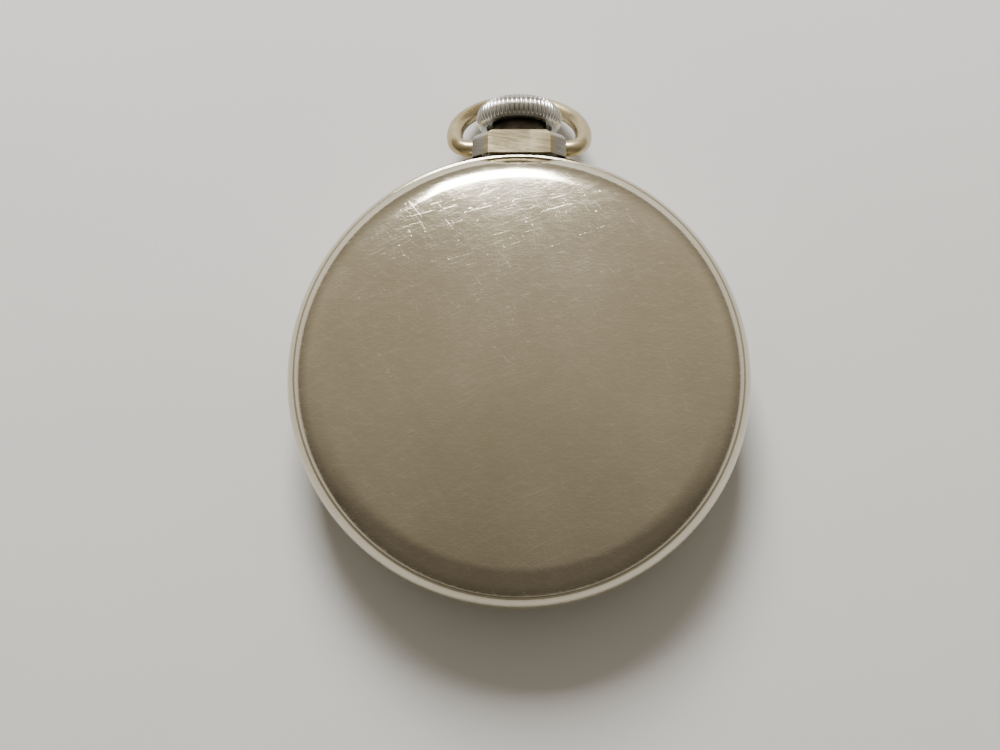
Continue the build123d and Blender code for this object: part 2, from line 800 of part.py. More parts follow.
foot_h = bridge_z - plate_top
with BuildPart() as barrel_bridge:
    half_disc(bridge_split + split_gap / 2, 1)
    sector(plate_top, foot_h, foot_r, bridge_r, 48, 68)
    sector(plate_top, foot_h, foot_r, bridge_r, 131, 66)
    balance_clearance(bridge_z, bridge_top)
    with BuildSketch(Plane.XY.offset(bridge_z)):
        with Locations((0, winding_pinion_y - 3 * seat_gap)):
            Rectangle(
                2 * winding_tip + 0.6,
                winding_pinion_t + 6 * seat_gap,
                align=(Align.CENTER, Align.MIN),
            )
    extrude(amount=bridge_t, mode=Mode.SUBTRACT)
    turned(barrel_at, (bridge_z, bridge_top, 1.0 + running_gap), mode=Mode.SUBTRACT)
    for place in barrel_screws:
        turned(place, (plate_top, bridge_top, screw_r), mode=Mode.SUBTRACT)
    for place in (crown_wheel_at, click_at):
        turned(place, (bridge_z + 0.1, bridge_top, screw_r), mode=Mode.SUBTRACT)
    for place in case_screws_at[:2]:
        turned(place, (plate_top, bridge_z, screw_r), mode=Mode.SUBTRACT)
        turned(place, (bridge_z, bridge_top, case_screw_head_r + 0.15), mode=Mode.SUBTRACT)
barrel_bridge.part.label = "barrel_bridge"
export_step(barrel_bridge.part, "parts/barrel_bridge.step")

with BuildPart() as train_bridge:
    half_disc(bridge_split - split_gap / 2, -1)
    sector(plate_top, foot_h, foot_r, bridge_r, 256, 46)
    sector(plate_top, foot_h, foot_r, bridge_r, 324, 60)
    balance_clearance(bridge_z, bridge_top)
    sector(bridge_z, bridge_t, 15, plate_r, 178, 10, mode=Mode.SUBTRACT)
    for place in (centre_at, third_at, fourth_at, escape_at):
        turned(place, (bridge_z, bridge_top, jewel_r), mode=Mode.SUBTRACT)
    for place in train_screws:
        turned(place, (plate_top, bridge_top, screw_r), mode=Mode.SUBTRACT)
    turned(case_screws_at[2], (plate_top, bridge_z, screw_r), mode=Mode.SUBTRACT)
    turned(
        case_screws_at[2], (bridge_z, bridge_top, case_screw_head_r + 0.15), mode=Mode.SUBTRACT
    )
train_bridge.part.label = "train_bridge"
export_step(train_bridge.part, "parts/train_bridge.step")

with BuildPart() as pallet_bridge:
    turned(pallet_at, (pallet_bridge_z, pallet_bridge_z + pallet_bridge_t, 0.9))
    turned(pallet_foot, (plate_top, pallet_bridge_z + pallet_bridge_t, 1.3))
    outward = away((0, 0), 1, bearing(pallet_at, pallet_foot))
    with BuildSketch(
        Plane((*pallet_at, pallet_bridge_z), x_dir=(*outward, 0), z_dir=(0, 0, 1))
    ):
        Rectangle(5.0, 1.4, align=(Align.MIN, Align.CENTER))
    extrude(amount=pallet_bridge_t)
    turned(pallet_at, (pallet_bridge_z, pallet_bridge_z + 1, 0.4), mode=Mode.SUBTRACT)
    turned(pallet_foot, (plate_top, pallet_bridge_z + 1, screw_r), mode=Mode.SUBTRACT)
pallet_bridge.part.label = "pallet_bridge"
export_step(pallet_bridge.part, "parts/pallet_bridge.step")

cock_foot_r = hypot(*balance_at) + balance_cut_r + 0.4
cock_reach = cock_foot_r + 0.5 - hypot(*balance_at)
with BuildPart() as balance_cock:
    sector(plate_top, cock_top - plate_top, cock_foot_r, bridge_r, cock_angle, 30)
    turned(balance_at, (cock_z, cock_top, 2.2))
    outward = away((0, 0), 1, cock_angle)
    with BuildSketch(Plane((*balance_at, cock_z), x_dir=(*outward, 0), z_dir=(0, 0, 1))):
        with BuildLine():
            Polyline(
                (0, -1.8),
                (cock_reach, -3.6),
                (cock_reach, 3.6),
                (0, 1.8),
                close=True,
            )
        make_face()
    extrude(amount=cock_t)
    turned(balance_at, (cock_z, cock_top, jewel_r), mode=Mode.SUBTRACT)
    turned(cock_screw, (plate_top, cock_top, screw_r), mode=Mode.SUBTRACT)
balance_cock.part.label = "balance_cock"
export_step(balance_cock.part, "parts/balance_cock.step")

with BuildPart() as bridge_screws:
    for place in barrel_screws + train_screws:
        turned(
            place,
            (plate_top - screw_depth, bridge_top, screw_r),
            (bridge_top, bridge_top + screw_head_t, screw_head_r),
        )
    turned(
        cock_screw,
        (plate_top - screw_depth, cock_top, screw_r),
        (cock_top, cock_top + screw_head_t, screw_head_r),
    )
    pallet_top = pallet_bridge_z + pallet_bridge_t
    turned(pallet_foot, (plate_top - screw_depth, pallet_top, screw_r), (pallet_top, pallet_top + 0.3, 0.9))
bridge_screws.part.label = "bridge_screws"
export_step(bridge_screws.part, "parts/bridge_screws.step")

# Jewels: rings pressed in the plate and in the bridges
bearings = [
    (centre_at, centre_post_r, 0.3),
    (third_at, pivot_r, pivot_r),
    (fourth_at, seconds_post_r, pivot_r),
    (escape_at, pivot_r, pivot_r),
]
with BuildPart() as plate_jewels:
    for place, lower_r, _ in bearings + [(pallet_at, pivot_r, 0), (balance_at, pivot_r, 0)]:
        turned(place, (lower_jewel_z, plate_top, jewel_r))
        turned(place, (lower_jewel_z, plate_top, lower_r + bore_gap), mode=Mode.SUBTRACT)
plate_jewels.part.label = "plate_jewels"
export_step(plate_jewels.part, "parts/plate_jewels.step")

with BuildPart() as train_jewels:
    for place, _, upper_r in bearings:
        turned(place, (bridge_z, bridge_z + jewel_t, jewel_r))
        turned(place, (bridge_z, bridge_z + jewel_t, upper_r + bore_gap), mode=Mode.SUBTRACT)
    turned(balance_at, (cock_z, cock_z + jewel_t, jewel_r))
    turned(balance_at, (cock_z, cock_z + jewel_t, pivot_r + bore_gap), mode=Mode.SUBTRACT)
    turned(pallet_at, (pallet_bridge_z, pallet_top, 0.4))
    turned(pallet_at, (pallet_bridge_z, pallet_top, pivot_r + bore_gap), mode=Mode.SUBTRACT)
train_jewels.part.label = "train_jewels"
export_step(train_jewels.part, "parts/train_jewels.step")

# ---- Mainspring barrel ----
hub_low, hub_high = barrel_z + 0.25, barrel_top - 0.25
with BuildPart() as barrel_arbor:
    turned(
        barrel_at,
        (plate_top - 0.9, hub_low, barrel_arbor_r),
        (hub_low, hub_high, 1.4),
        (hub_high, winding_z, 1.0),
        (winding_z, ratchet_top, ratchet_seat_r),
    )
    turned(barrel_at, (ratchet_top - 1.2, ratchet_top, 0.4), mode=Mode.SUBTRACT)
barrel_arbor.part.label = "barrel_arbor"
export_step(barrel_arbor.part, "parts/barrel_arbor.step")

with BuildPart() as barrel:
    turned(barrel_at, (barrel_z, barrel_top, barrel_inner_r + barrel_wall))
    wheel_teeth(barrel_at, barrel_teeth, barrel_m, 0, barrel_teeth_z, barrel_teeth_t)
    turned(barrel_at, (barrel_z + 0.2, barrel_top, barrel_inner_r), mode=Mode.SUBTRACT)
    turned(
        barrel_at, (barrel_z, barrel_z + 0.2, barrel_arbor_r + running_gap), mode=Mode.SUBTRACT
    )
barrel.part.label = "barrel"
export_step(barrel.part, "parts/barrel.step")

with BuildPart() as barrel_cover:
    turned(barrel_at, (barrel_top - 0.2, barrel_top, barrel_inner_r))
    turned(barrel_at, (barrel_top - 0.2, barrel_top, 1.0 + running_gap), mode=Mode.SUBTRACT)
barrel_cover.part.label = "barrel_cover"
export_step(barrel_cover.part, "parts/barrel_cover.step")

with BuildPart() as mainspring:
    spiral_strip(barrel_at, barrel_z + 0.3, barrel_top - barrel_z - 0.6, 1.8, barrel_inner_r - 0.15, 7, 0.15)
mainspring.part.label = "mainspring"
export_step(mainspring.part, "parts/mainspring.step")

# ---- Going train ----
low_pivot = lower_jewel_z + end_shake
low_shoulder = plate_top + end_shake
high_shoulder = bridge_z - end_shake
high_pivot = bridge_z + jewel_t - end_shake
centre_phase = mesh_phase(barrel_at, barrel_teeth, 0, centre_at, centre_leaves)
third_phase = mesh_phase(centre_at, centre_teeth, 0, third_at, third_leaves)
fourth_phase = mesh_phase(third_at, third_teeth, 0, fourth_at, fourth_leaves)
escape_phase = mesh_phase(fourth_at, fourth_teeth, 0, escape_at, escape_leaves)
cannon_low = minute_hand_z

with BuildPart() as centre_pinion:
    turned(
        centre_at,
        (cannon_low + hand_t, low_shoulder, centre_post_r),
        (low_shoulder, high_shoulder, 0.6),
        (high_shoulder, high_pivot, 0.3),
    )
    pinion_teeth(centre_at, centre_leaves, barrel_m, centre_phase, barrel_z + 0.15, 1.0)
centre_pinion.part.label = "centre_pinion"
export_step(centre_pinion.part, "parts/centre_pinion.step")

with BuildPart() as centre_wheel:
    wheel_teeth(centre_at, centre_teeth, centre_m, 0, centre_z)
    crossed_out(centre_at, centre_z, wheel_t, 1.5, 6.4, 5, 0.7)
    turned(centre_at, (centre_z, centre_z + wheel_t, 0.6), mode=Mode.SUBTRACT)
centre_wheel.part.label = "centre_wheel"
export_step(centre_wheel.part, "parts/centre_wheel.step")

with BuildPart() as third_pinion:
    turned(
        third_at,
        (low_pivot, low_shoulder, pivot_r),
        (low_shoulder, high_shoulder, arbor_r),
        (high_shoulder, high_pivot, pivot_r),
    )
    pinion_teeth(third_at, third_leaves, centre_m, third_phase, low_shoulder, 0.43)
third_pinion.part.label = "third_pinion"
export_step(third_pinion.part, "parts/third_pinion.step")

with BuildPart() as third_wheel:
    wheel_teeth(third_at, third_teeth, third_m, 0, third_z)
    crossed_out(third_at, third_z, wheel_t, 1.1, 4.9, 5, 0.55)
    turned(third_at, (third_z, third_z + wheel_t, arbor_r), mode=Mode.SUBTRACT)
third_wheel.part.label = "third_wheel"
export_step(third_wheel.part, "parts/third_wheel.step")

with BuildPart() as fourth_pinion:
    turned(
        fourth_at,
        (seconds_hand_z, low_shoulder, seconds_post_r),
        (low_shoulder, high_shoulder, arbor_r),
        (high_shoulder, high_pivot, pivot_r),
    )
    pinion_teeth(fourth_at, fourth_leaves, third_m, fourth_phase, third_z - 0.1, 0.4)
fourth_pinion.part.label = "fourth_pinion"
export_step(fourth_pinion.part, "parts/fourth_pinion.step")

with BuildPart() as fourth_wheel:
    wheel_teeth(fourth_at, fourth_teeth, fourth_m, 0, fourth_z)
    crossed_out(fourth_at, fourth_z, wheel_t, 1.0, 4.5, 5, 0.5)
    turned(fourth_at, (fourth_z, fourth_z + wheel_t, arbor_r), mode=Mode.SUBTRACT)
fourth_wheel.part.label = "fourth_wheel"
export_step(fourth_wheel.part, "parts/fourth_wheel.step")

with BuildPart() as escape_pinion:
    turned(
        escape_at,
        (low_pivot, low_shoulder, pivot_r),
        (low_shoulder, high_shoulder, 0.25),
        (high_shoulder, high_pivot, pivot_r),
    )
    pinion_teeth(escape_at, escape_leaves, fourth_m, escape_phase, fourth_z - 0.1, 0.4)
escape_pinion.part.label = "escape_pinion"
export_step(escape_pinion.part, "parts/escape_pinion.step")

with BuildPart() as escape_wheel:
    with BuildSketch(Plane.XY.offset(escape_z)):
        club = []
        pitch = 360 / escape_teeth
        for index in range(escape_teeth):
            root_angle = index * pitch
            club.append(away(escape_at, escape_r - 0.8, root_angle))
            club.append(away(escape_at, escape_r - 0.12, root_angle + 0.36 * pitch))
            club.append(away(escape_at, escape_r, root_angle + 0.54 * pitch))
            club.append(away(escape_at, escape_r - 0.8, root_angle + 0.44 * pitch))
        with BuildLine():
            Polyline(*club, close=True)
        make_face()
    extrude(amount=wheel_t)
    crossed_out(escape_at, escape_z, wheel_t, 0.8, 2.4, 4, 0.4)
    turned(escape_at, (escape_z, escape_z + wheel_t, 0.25), mode=Mode.SUBTRACT)
escape_wheel.part.label = "escape_wheel"
export_step(escape_wheel.part, "parts/escape_wheel.step")

# ---- Pallet fork and balance ----
fork_angle = bearing(pallet_at, balance_at)
stone_points = [
    away(escape_at, pallet_lock_r + 0.25, bearing(escape_at, pallet_at) + side * 30)
    for side in (-1, 1)
]
with BuildPart() as pallet_fork:
    along = away((0, 0), 1, fork_angle)
    with BuildSketch(Plane((*pallet_at, pallet_z), x_dir=(*along, 0), z_dir=(0, 0, 1))):
        with BuildLine():
            Polyline(
                (0, -0.3),
                (fork_reach - 0.7, -0.2),
                (fork_reach, -0.5),
                (fork_reach, -0.2),
                (fork_reach - 0.4, -0.15),
                (fork_reach - 0.4, 0.15),
                (fork_reach, 0.2),
                (fork_reach, 0.5),
                (fork_reach - 0.7, 0.2),
                (0, 0.3),
                close=True,
            )
        make_face()
        Circle(0.65)
    extrude(amount=pallet_t)
    for stone in stone_points:
        arm = away((0, 0), 1, bearing(pallet_at, stone))
        arm_l = hypot(stone[0] - pallet_at[0], stone[1] - pallet_at[1])
        with BuildSketch(Plane((*pallet_at, pallet_z), x_dir=(*arm, 0), z_dir=(0, 0, 1))):
            Rectangle(arm_l - 0.2, 0.5, align=(Align.MIN, Align.CENTER))
        extrude(amount=pallet_t)
    turned(pallet_at, (pallet_z, pallet_z + pallet_t, 0.25), mode=Mode.SUBTRACT)
pallet_fork.part.label = "pallet_fork"
export_step(pallet_fork.part, "parts/pallet_fork.step")

with BuildPart() as pallet_stones:
    for stone in stone_points:
        arm = away((0, 0), 1, bearing(pallet_at, stone))
        with BuildSketch(Plane((*stone, pallet_z), x_dir=(*arm, 0), z_dir=(0, 0, 1))):
            with Locations((-0.2, 0)):
                Rectangle(0.35, 0.36, align=(Align.MIN, Align.CENTER))
        extrude(amount=pallet_t)
pallet_stones.part.label = "pallet_stones"
export_step(pallet_stones.part, "parts/pallet_stones.step")

with BuildPart() as pallet_arbor:
    turned(
        pallet_at,
        (low_pivot, low_shoulder, pivot_r),
        (low_shoulder, pallet_bridge_z - end_shake, 0.25),
        (pallet_bridge_z - end_shake, pallet_top - end_shake, pivot_r),
    )
pallet_arbor.part.label = "pallet_arbor"
export_step(pallet_arbor.part, "parts/pallet_arbor.step")

balance_arm_z = balance_z + 0.1
balance_arm_t = 0.3
with BuildPart() as balance_wheel:
    turned(balance_at, (balance_z, balance_z + balance_t, balance_r))
    turned(
        balance_at, (balance_z, balance_z + balance_t, balance_r - balance_rim), mode=Mode.SUBTRACT
    )
    turned(balance_at, (balance_arm_z, balance_arm_z + balance_arm_t, 1.0))
    with BuildSketch(Plane((*balance_at, balance_arm_z), z_dir=(0, 0, 1))):
        Rectangle(2 * balance_r - balance_rim, 0.8)
    extrude(amount=balance_arm_t)
    turned(
        balance_at, (balance_arm_z, balance_arm_z + balance_arm_t, 0.5), mode=Mode.SUBTRACT
    )
balance_wheel.part.label = "balance_wheel"
export_step(balance_wheel.part, "parts/balance_wheel.step")

balance_screw_turns = [side + step for side in (0, 180) for step in (-60, -40, -20, 0, 20, 40, 60)]
with BuildPart() as balance_screws:
    for turn in balance_screw_turns:
        facing = away((0, 0), 1, turn)
        seat = away(balance_at, balance_r - 0.02, turn)
        middle_z = balance_z + balance_t / 2
        with BuildSketch(Plane((*seat, middle_z), z_dir=(*facing, 0))):
            Circle(0.27)
        extrude(amount=balance_screw_h)
    turned(
        balance_at, (balance_z, balance_z + balance_t, balance_r), mode=Mode.SUBTRACT
    )
balance_screws.part.label = "balance_screws"
export_step(balance_screws.part, "parts/balance_screws.step")

with BuildPart() as balance_staff:
    turned(
        balance_at,
        (low_pivot, low_shoulder, pivot_r),
        (low_shoulder, roller_z + 0.2, 0.3),
        (roller_z + 0.2, balance_arm_z, 0.6),
        (balance_arm_z, balance_arm_z + balance_arm_t, 0.5),
        (balance_arm_z + balance_arm_t, hairspring_z - 0.05, 0.45),
        (hairspring_z - 0.05, hairspring_z + 0.25, collet_r),
        (hairspring_z + 0.25, cock_z - end_shake, 0.3),
        (cock_z - end_shake, cock_z + jewel_t - end_shake, pivot_r),
    )
balance_staff.part.label = "balance_staff"
export_step(balance_staff.part, "parts/balance_staff.step")

with BuildPart() as roller:
    turned(balance_at, (roller_z, roller_z + 0.2, roller_r))
    turned(balance_at, (roller_z, roller_z + 0.2, 0.3), mode=Mode.SUBTRACT)
    turned(away(balance_at, 0.85, fork_angle + 180), (pallet_z, roller_z, 0.15))
roller.part.label = "roller"
export_step(roller.part, "parts/roller.step")

with BuildPart() as hairspring:
    spiral_strip(balance_at, hairspring_z, hairspring_t, collet_r + 0.08, hairspring_r, 7, 0.06)
hairspring.part.label = "hairspring"
export_step(hairspring.part, "parts/hairspring.step")

stud_at = away(balance_at, hairspring_r + 0.35, 20)
with BuildPart() as hairspring_stud:
    turned(stud_at, (hairspring_z - 0.05, cock_z + 0.5, 0.25))
    with BuildSketch(Plane((*balance_at, cock_z + 0.1), x_dir=(*away((0, 0), 1, 20), 0))):
        with Locations((2.2, 0)):
            Rectangle(hairspring_r - 1.85, 0.5, align=(Align.MIN, Align.CENTER))
    extrude(amount=0.4)
    turned(balance_at, (cock_z, cock_z + 1, 2.2), mode=Mode.SUBTRACT)
hairspring_stud.part.label = "hairspring_stud"
export_step(hairspring_stud.part, "parts/hairspring_stud.step")

with BuildPart() as regulator:
    with BuildSketch(Plane((*balance_at, cock_top), x_dir=(*outward, 0), z_dir=(0, 0, 1))):
        Circle(1.7)
        with BuildLine():
            Polyline((0, -0.35), (5.0, -0.12), (5.0, 0.12), (0, 0.35), close=True)
        make_face()
        Circle(0.9, mode=Mode.SUBTRACT)
    extrude(amount=0.2)
regulator.part.label = "regulator"
export_step(regulator.part, "parts/regulator.step")

# ---- Motion work, dial and hands ----
minute_phase = mesh_phase(centre_at, cannon_teeth, 0, minute_at, minute_teeth)
hour_phase = mesh_phase(minute_at, minute_leaves, 0, centre_at, hour_teeth)
with BuildPart() as cannon_pinion:
    turned(centre_at, (cannon_low, motion_z + motion_t, cannon_r))
    pinion_teeth(centre_at, cannon_teeth, cannon_m, 0, motion_z, motion_t)
    turned(
        centre_at, (cannon_low, motion_z + 1, centre_post_r + bore_gap), mode=Mode.SUBTRACT
    )
cannon_pinion.part.label = "cannon_pinion"
export_step(cannon_pinion.part, "parts/cannon_pinion.step")

with BuildPart() as minute_wheel:
    wheel_teeth(minute_at, minute_teeth, cannon_m, minute_phase, motion_z, motion_t)
    pinion_teeth(minute_at, minute_leaves, minute_m, 0, hour_wheel_z, motion_z - hour_wheel_z)
    turned(
        minute_at, (hour_wheel_z, motion_z + 1, minute_post_r + running_gap), mode=Mode.SUBTRACT
    )
minute_wheel.part.label = "minute_wheel"
export_step(minute_wheel.part, "parts/minute_wheel.step")

with BuildPart() as hour_wheel:
    wheel_teeth(centre_at, hour_teeth, minute_m, hour_phase, hour_wheel_z, motion_t)
    turned(centre_at, (hour_hand_z, hour_wheel_z, hour_pipe_r))
    turned(centre_at, (hour_hand_z, motion_z, cannon_r + running_gap), mode=Mode.SUBTRACT)
hour_wheel.part.label = "hour_wheel"
export_step(hour_wheel.part, "parts/hour_wheel.step")

with BuildPart() as dial:
    turned(centre_at, (dial_z, dial_z + dial_t, dial_r))
    chamfer(faces().sort_by(Axis.Z)[0].edges(), length=0.15)
    turned(centre_at, (dial_z, dial_z + dial_t, hour_pipe_r + 0.15), mode=Mode.SUBTRACT)
    turned(fourth_at, (dial_z, dial_z + seconds_sink_t, seconds_sink_r), mode=Mode.SUBTRACT)
    turned(fourth_at, (dial_z, dial_z + dial_t, 0.5), mode=Mode.SUBTRACT)
    for place in dial_feet_at:
        turned(place, (dial_z + dial_t, ledge_z + 0.2, dial_foot_r))
dial.part.label = "dial"
export_step(dial.part, "parts/dial.step")

with BuildPart() as hour_hand:
    hand(hour_hand_z, centre_at, hour_angle, hour_hand_l, 3.0, 1.9, hour_pipe_r, 1.1)
hour_hand.part.label = "hour_hand"
export_step(hour_hand.part, "parts/hour_hand.step")

with BuildPart() as minute_hand:
    hand(minute_hand_z, centre_at, minute_angle, minute_hand_l, 4.0, 1.5, cannon_r, 0.9)
minute_hand.part.label = "minute_hand"
export_step(minute_hand.part, "parts/minute_hand.step")

with BuildPart() as seconds_hand:
    hand(
        seconds_hand_z, fourth_at, seconds_angle, seconds_hand_l, 1.6, 0.5, seconds_post_r, 0.35
    )
seconds_hand.part.label = "seconds_hand"
export_step(seconds_hand.part, "parts/seconds_hand.step")
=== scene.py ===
from math import acos, asin, atan2, cos, degrees, pi, radians, sin, sqrt

import bmesh
import bpy
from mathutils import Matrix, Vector


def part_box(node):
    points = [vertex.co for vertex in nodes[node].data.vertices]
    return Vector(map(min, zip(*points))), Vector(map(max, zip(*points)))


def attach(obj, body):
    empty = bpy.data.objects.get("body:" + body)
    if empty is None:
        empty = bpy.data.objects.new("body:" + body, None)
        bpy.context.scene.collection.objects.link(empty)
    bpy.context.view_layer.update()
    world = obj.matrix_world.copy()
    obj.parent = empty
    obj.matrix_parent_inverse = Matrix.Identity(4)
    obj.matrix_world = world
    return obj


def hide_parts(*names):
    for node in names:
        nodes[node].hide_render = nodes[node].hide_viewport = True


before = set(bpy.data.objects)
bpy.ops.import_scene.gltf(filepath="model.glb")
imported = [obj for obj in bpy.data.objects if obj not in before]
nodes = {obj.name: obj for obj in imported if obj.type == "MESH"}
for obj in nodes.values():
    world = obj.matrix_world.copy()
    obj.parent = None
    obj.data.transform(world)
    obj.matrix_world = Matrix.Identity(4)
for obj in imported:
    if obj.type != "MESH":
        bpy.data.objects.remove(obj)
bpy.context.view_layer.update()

MM = 0.001
scene = bpy.context.scene

# ---- Camera, table and lamps ----
# The watch is looked at from almost straight above its back, a little from the 6 o'clock side.
# The table is plain and pale. One broad, soft lamp stands on the crown's side, and the room's own
# light fades gently away from it.
equator_z = 7.4 * MM
camera_tilt = radians(11)
camera_distance = 140 * MM
lens_mm = 45.7
camera_data = bpy.data.cameras.new("camera")
camera_data.lens = lens_mm
camera_data.sensor_width = 36
camera_data.clip_start = 0.01
camera_data.shift_x = -0.0192
camera = bpy.data.objects.new("camera", camera_data)
scene.collection.objects.link(camera)
camera.location = (
    0,
    -camera_distance * sin(camera_tilt),
    equator_z + camera_distance * cos(camera_tilt),
)
camera.rotation_euler = (camera_tilt, 0, 0)
scene.camera = camera


class Tone:
    """A value in a material; sums and products of tones add the Math nodes that work them out."""

    def __init__(self, tree, socket=None):
        self.tree = tree
        self.socket = socket

    def node(self, kind, settings=None, values=None, output=0):
        """Add any node: its settings first, then its sockets' values or links."""
        made = self.tree.nodes.new(kind)
        for name, setting in (settings or {}).items():
            if name == "stops":
                ramp = made.color_ramp
                while len(ramp.elements) < len(setting):
                    ramp.elements.new(1)
                for element, (place, colour) in zip(ramp.elements, setting):
                    element.position = place
                    element.color = (*colour, 1)
            else:
                setattr(made, name, setting)
        for name, value in (values or {}).items():
            if isinstance(value, Tone):
                self.tree.links.new(value.socket, made.inputs[name])
            else:
                made.inputs[name].default_value = value
        return Tone(self.tree, made.outputs[output])

    def maths(self, operation, left, right=0.0):
        return self.node("ShaderNodeMath", {"operation": operation}, {0: left, 1: right})

    def __add__(self, other):
        return self.maths("ADD", self, other)

    def __mul__(self, other):
        return self.maths("MULTIPLY", self, other)

    __radd__ = __add__
    __rmul__ = __mul__


def finish(name, fixed, painted):
    """A material: fixed numbers go on the shader's own sockets, painted ones vary over the surface."""
    material = bpy.data.materials.new(name)
    material.use_nodes = True
    tree = material.node_tree
    shader = tree.nodes["Principled BSDF"]
    for socket, value in fixed.items():
        shader.inputs[socket].default_value = value
    place = Tone(tree).node("ShaderNodeTexCoord", output=3)
    for socket, tone in painted(place).items():
        tree.links.new(tone.socket, shader.inputs[socket])
    return material


def grain(place, scale, stretch=(1, 1, 1), turn=(0, 0, 0), detail=3.0, rough=0.5):
    """Noise from 0 to 1, stretched and turned, with its size per metre."""
    turned = place.node("ShaderNodeMapping", {}, {"Vector": place, "Rotation": turn})
    moved = place.node("ShaderNodeMapping", {}, {"Vector": turned, "Scale": stretch})
    return place.node(
        "ShaderNodeTexNoise",
        {"noise_dimensions": "3D"},
        {"Vector": moved, "Scale": scale, "Detail": detail, "Roughness": rough},
    )


def hairlines(place, across, along, lean, low, high):
    """Fine straight scratches that lean by an angle; low and high set how many of them there are."""
    return spread(grain(place, 1.0, (along, across, 300), (0, 0, lean), detail=3), low, high)


def away_from(place, centre):
    """Distance in metres from an upright axis through a point given in millimetres."""
    x, y = centre
    moved = place.node(
        "ShaderNodeMapping", {}, {"Vector": place, "Location": (-x * MM, -y * MM, 0)}
    )
    flat = moved.node("ShaderNodeMapping", {}, {"Vector": moved, "Scale": (1, 1, 0)})
    return flat.node("ShaderNodeVectorMath", {"operation": "LENGTH"}, {0: flat}, output=1)


def rings(place, centre, fineness):
    """Turning marks: noise that changes only with the distance from an axis."""
    return place.node(
        "ShaderNodeTexNoise",
        {"noise_dimensions": "1D"},
        {"W": away_from(place, centre), "Scale": fineness, "Detail": 3.0},
    )


def spread(tone, low, high, out_low=0.0, out_high=1.0):
    """Stretch a tone from one range to another."""
    return tone.node(
        "ShaderNodeMapRange",
        {"clamp": True},
        {"Value": tone, "From Min": low, "From Max": high, "To Min": out_low, "To Max": out_high},
    )


def shades(tone, dark, light):
    """A colour between two, by a tone from 0 to 1."""
    return tone.node(
        "ShaderNodeMix",
        {"data_type": "RGBA"},
        {0: tone, 6: (*dark, 1), 7: (*light, 1)},
        output=2,
    )


def relief(tone, strength, depth):
    """A bump from a height tone."""
    return tone.node(
        "ShaderNodeBump", {}, {"Strength": strength, "Distance": depth, "Height": tone}
    )


def dress(node, material):
    """Give a CAD piece a better finish."""
    slots = nodes[node].data.materials
    if len(slots) == 0:
        slots.append(material)
    for index in range(len(slots)):
        slots[index] = material


def smooth(mesh, angle=28):
    """Shade a mesh smooth except along its sharp edges."""
    mesh.shade_smooth()
    mesh.set_sharp_from_angle(angle=radians(angle))


def placed(name, vertices, faces, material, slot, body, replaced=(), angle=28):
    """Make a piece from its vertices in metres, set its faces outwards and fix it to its body."""
    mesh = bpy.data.meshes.new(name)
    mesh.from_pydata(vertices, [], faces)
    mesh.validate()
    piece = bpy.data.objects.new(name, mesh)
    scene.collection.objects.link(piece)
    turn_out(mesh)
    smooth(mesh, angle)
    mesh.materials.append(material)
    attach(piece, body)
    if replaced:
        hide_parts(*replaced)
    return piece


def turn_out(mesh):
    """Merge doubles and point every face outwards."""
    work = bmesh.new()
    work.from_mesh(mesh)
    bmesh.ops.remove_doubles(work, verts=work.verts, dist=1e-7)
    bmesh.ops.recalc_face_normals(work, faces=work.faces)
    work.to_mesh(mesh)
    work.free()


table_finish = finish(
    "pale_table",
    {"Roughness": 0.85},
    lambda place: {
        "Base Color": shades(grain(place, 40), (0.60, 0.60, 0.59), (0.64, 0.64, 0.63))
    },
)
table = bpy.data.meshes.new("table")
reach = 3.0
table.from_pydata(
    [(-reach, -reach, 0), (reach, -reach, 0), (reach, reach, 0), (-reach, reach, 0)],
    [],
    [(0, 1, 2, 3)],
)
table.materials.append(table_finish)
table_object = bpy.data.objects.new("table", table)
table_object.location.z = -0.00002
scene.collection.objects.link(table_object)

world = bpy.data.worlds.new("room")
world.use_nodes = True
backdrop = world.node_tree.nodes["Background"]
backdrop.inputs["Strength"].default_value = 0.62
heading = Tone(world.node_tree).node("ShaderNodeTexCoord", output=0)
side = heading.node("ShaderNodeSeparateXYZ", {}, {0: heading}, output=1)
height = heading.node("ShaderNodeSeparateXYZ", {}, {0: heading}, output=2)
glow = spread(side, -0.45, 0.45, 0.22, 1.0) * spread(height, 0.0, 0.5, 0.5, 1.0)
room = shades(glow, (0.08, 0.065, 0.05), (1.0, 0.91, 0.74))
world.node_tree.links.new(room.socket, backdrop.inputs["Color"])
scene.world = world


def lamp(name, place, size, power, warmth=(1, 1, 1)):
    """A square soft lamp that faces the watch."""
    data = bpy.data.lights.new(name, "AREA")
    data.size = size
    data.energy = power
    data.color = warmth
    made = bpy.data.objects.new(name, data)
    made.location = place
    facing = Vector((0, 0, equator_z)) - Vector(place)
    made.rotation_euler = facing.to_track_quat("-Z", "Y").to_euler()
    scene.collection.objects.link(made)


lamp("main_lamp", (-0.05, 0.42, 0.34), 0.20, 6.0, (1, 0.99, 0.97))

# ---- Back cover ----
# A pressed and turned stainless steel dome that screws on to the band. Its shoulder is polished
# and its crown has gone satin with years of fine hairlines. A thin lip marks its seam.
cover_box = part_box("back_cover")
back_z = cover_box[1].z / MM
seam_back_z = cover_box[0].z / MM
cover_r = cover_box[1].x / MM
wall = 0.75
shoulder_r = 5.2
shoulder_start, shoulder_end = 38, 82
dome_h = 1.48
lip_t = 0.2
cover_bore_r = 22.44
skirt_z = 11.2
thread_top_z, thread_step, thread_depth = 10.95, 0.08, 0.14


def from_point(start, distance, angle):
    """The point at a distance and an angle in degrees from a start point."""
    return (start[0] + distance * cos(radians(angle)), start[1] + distance * sin(radians(angle)))


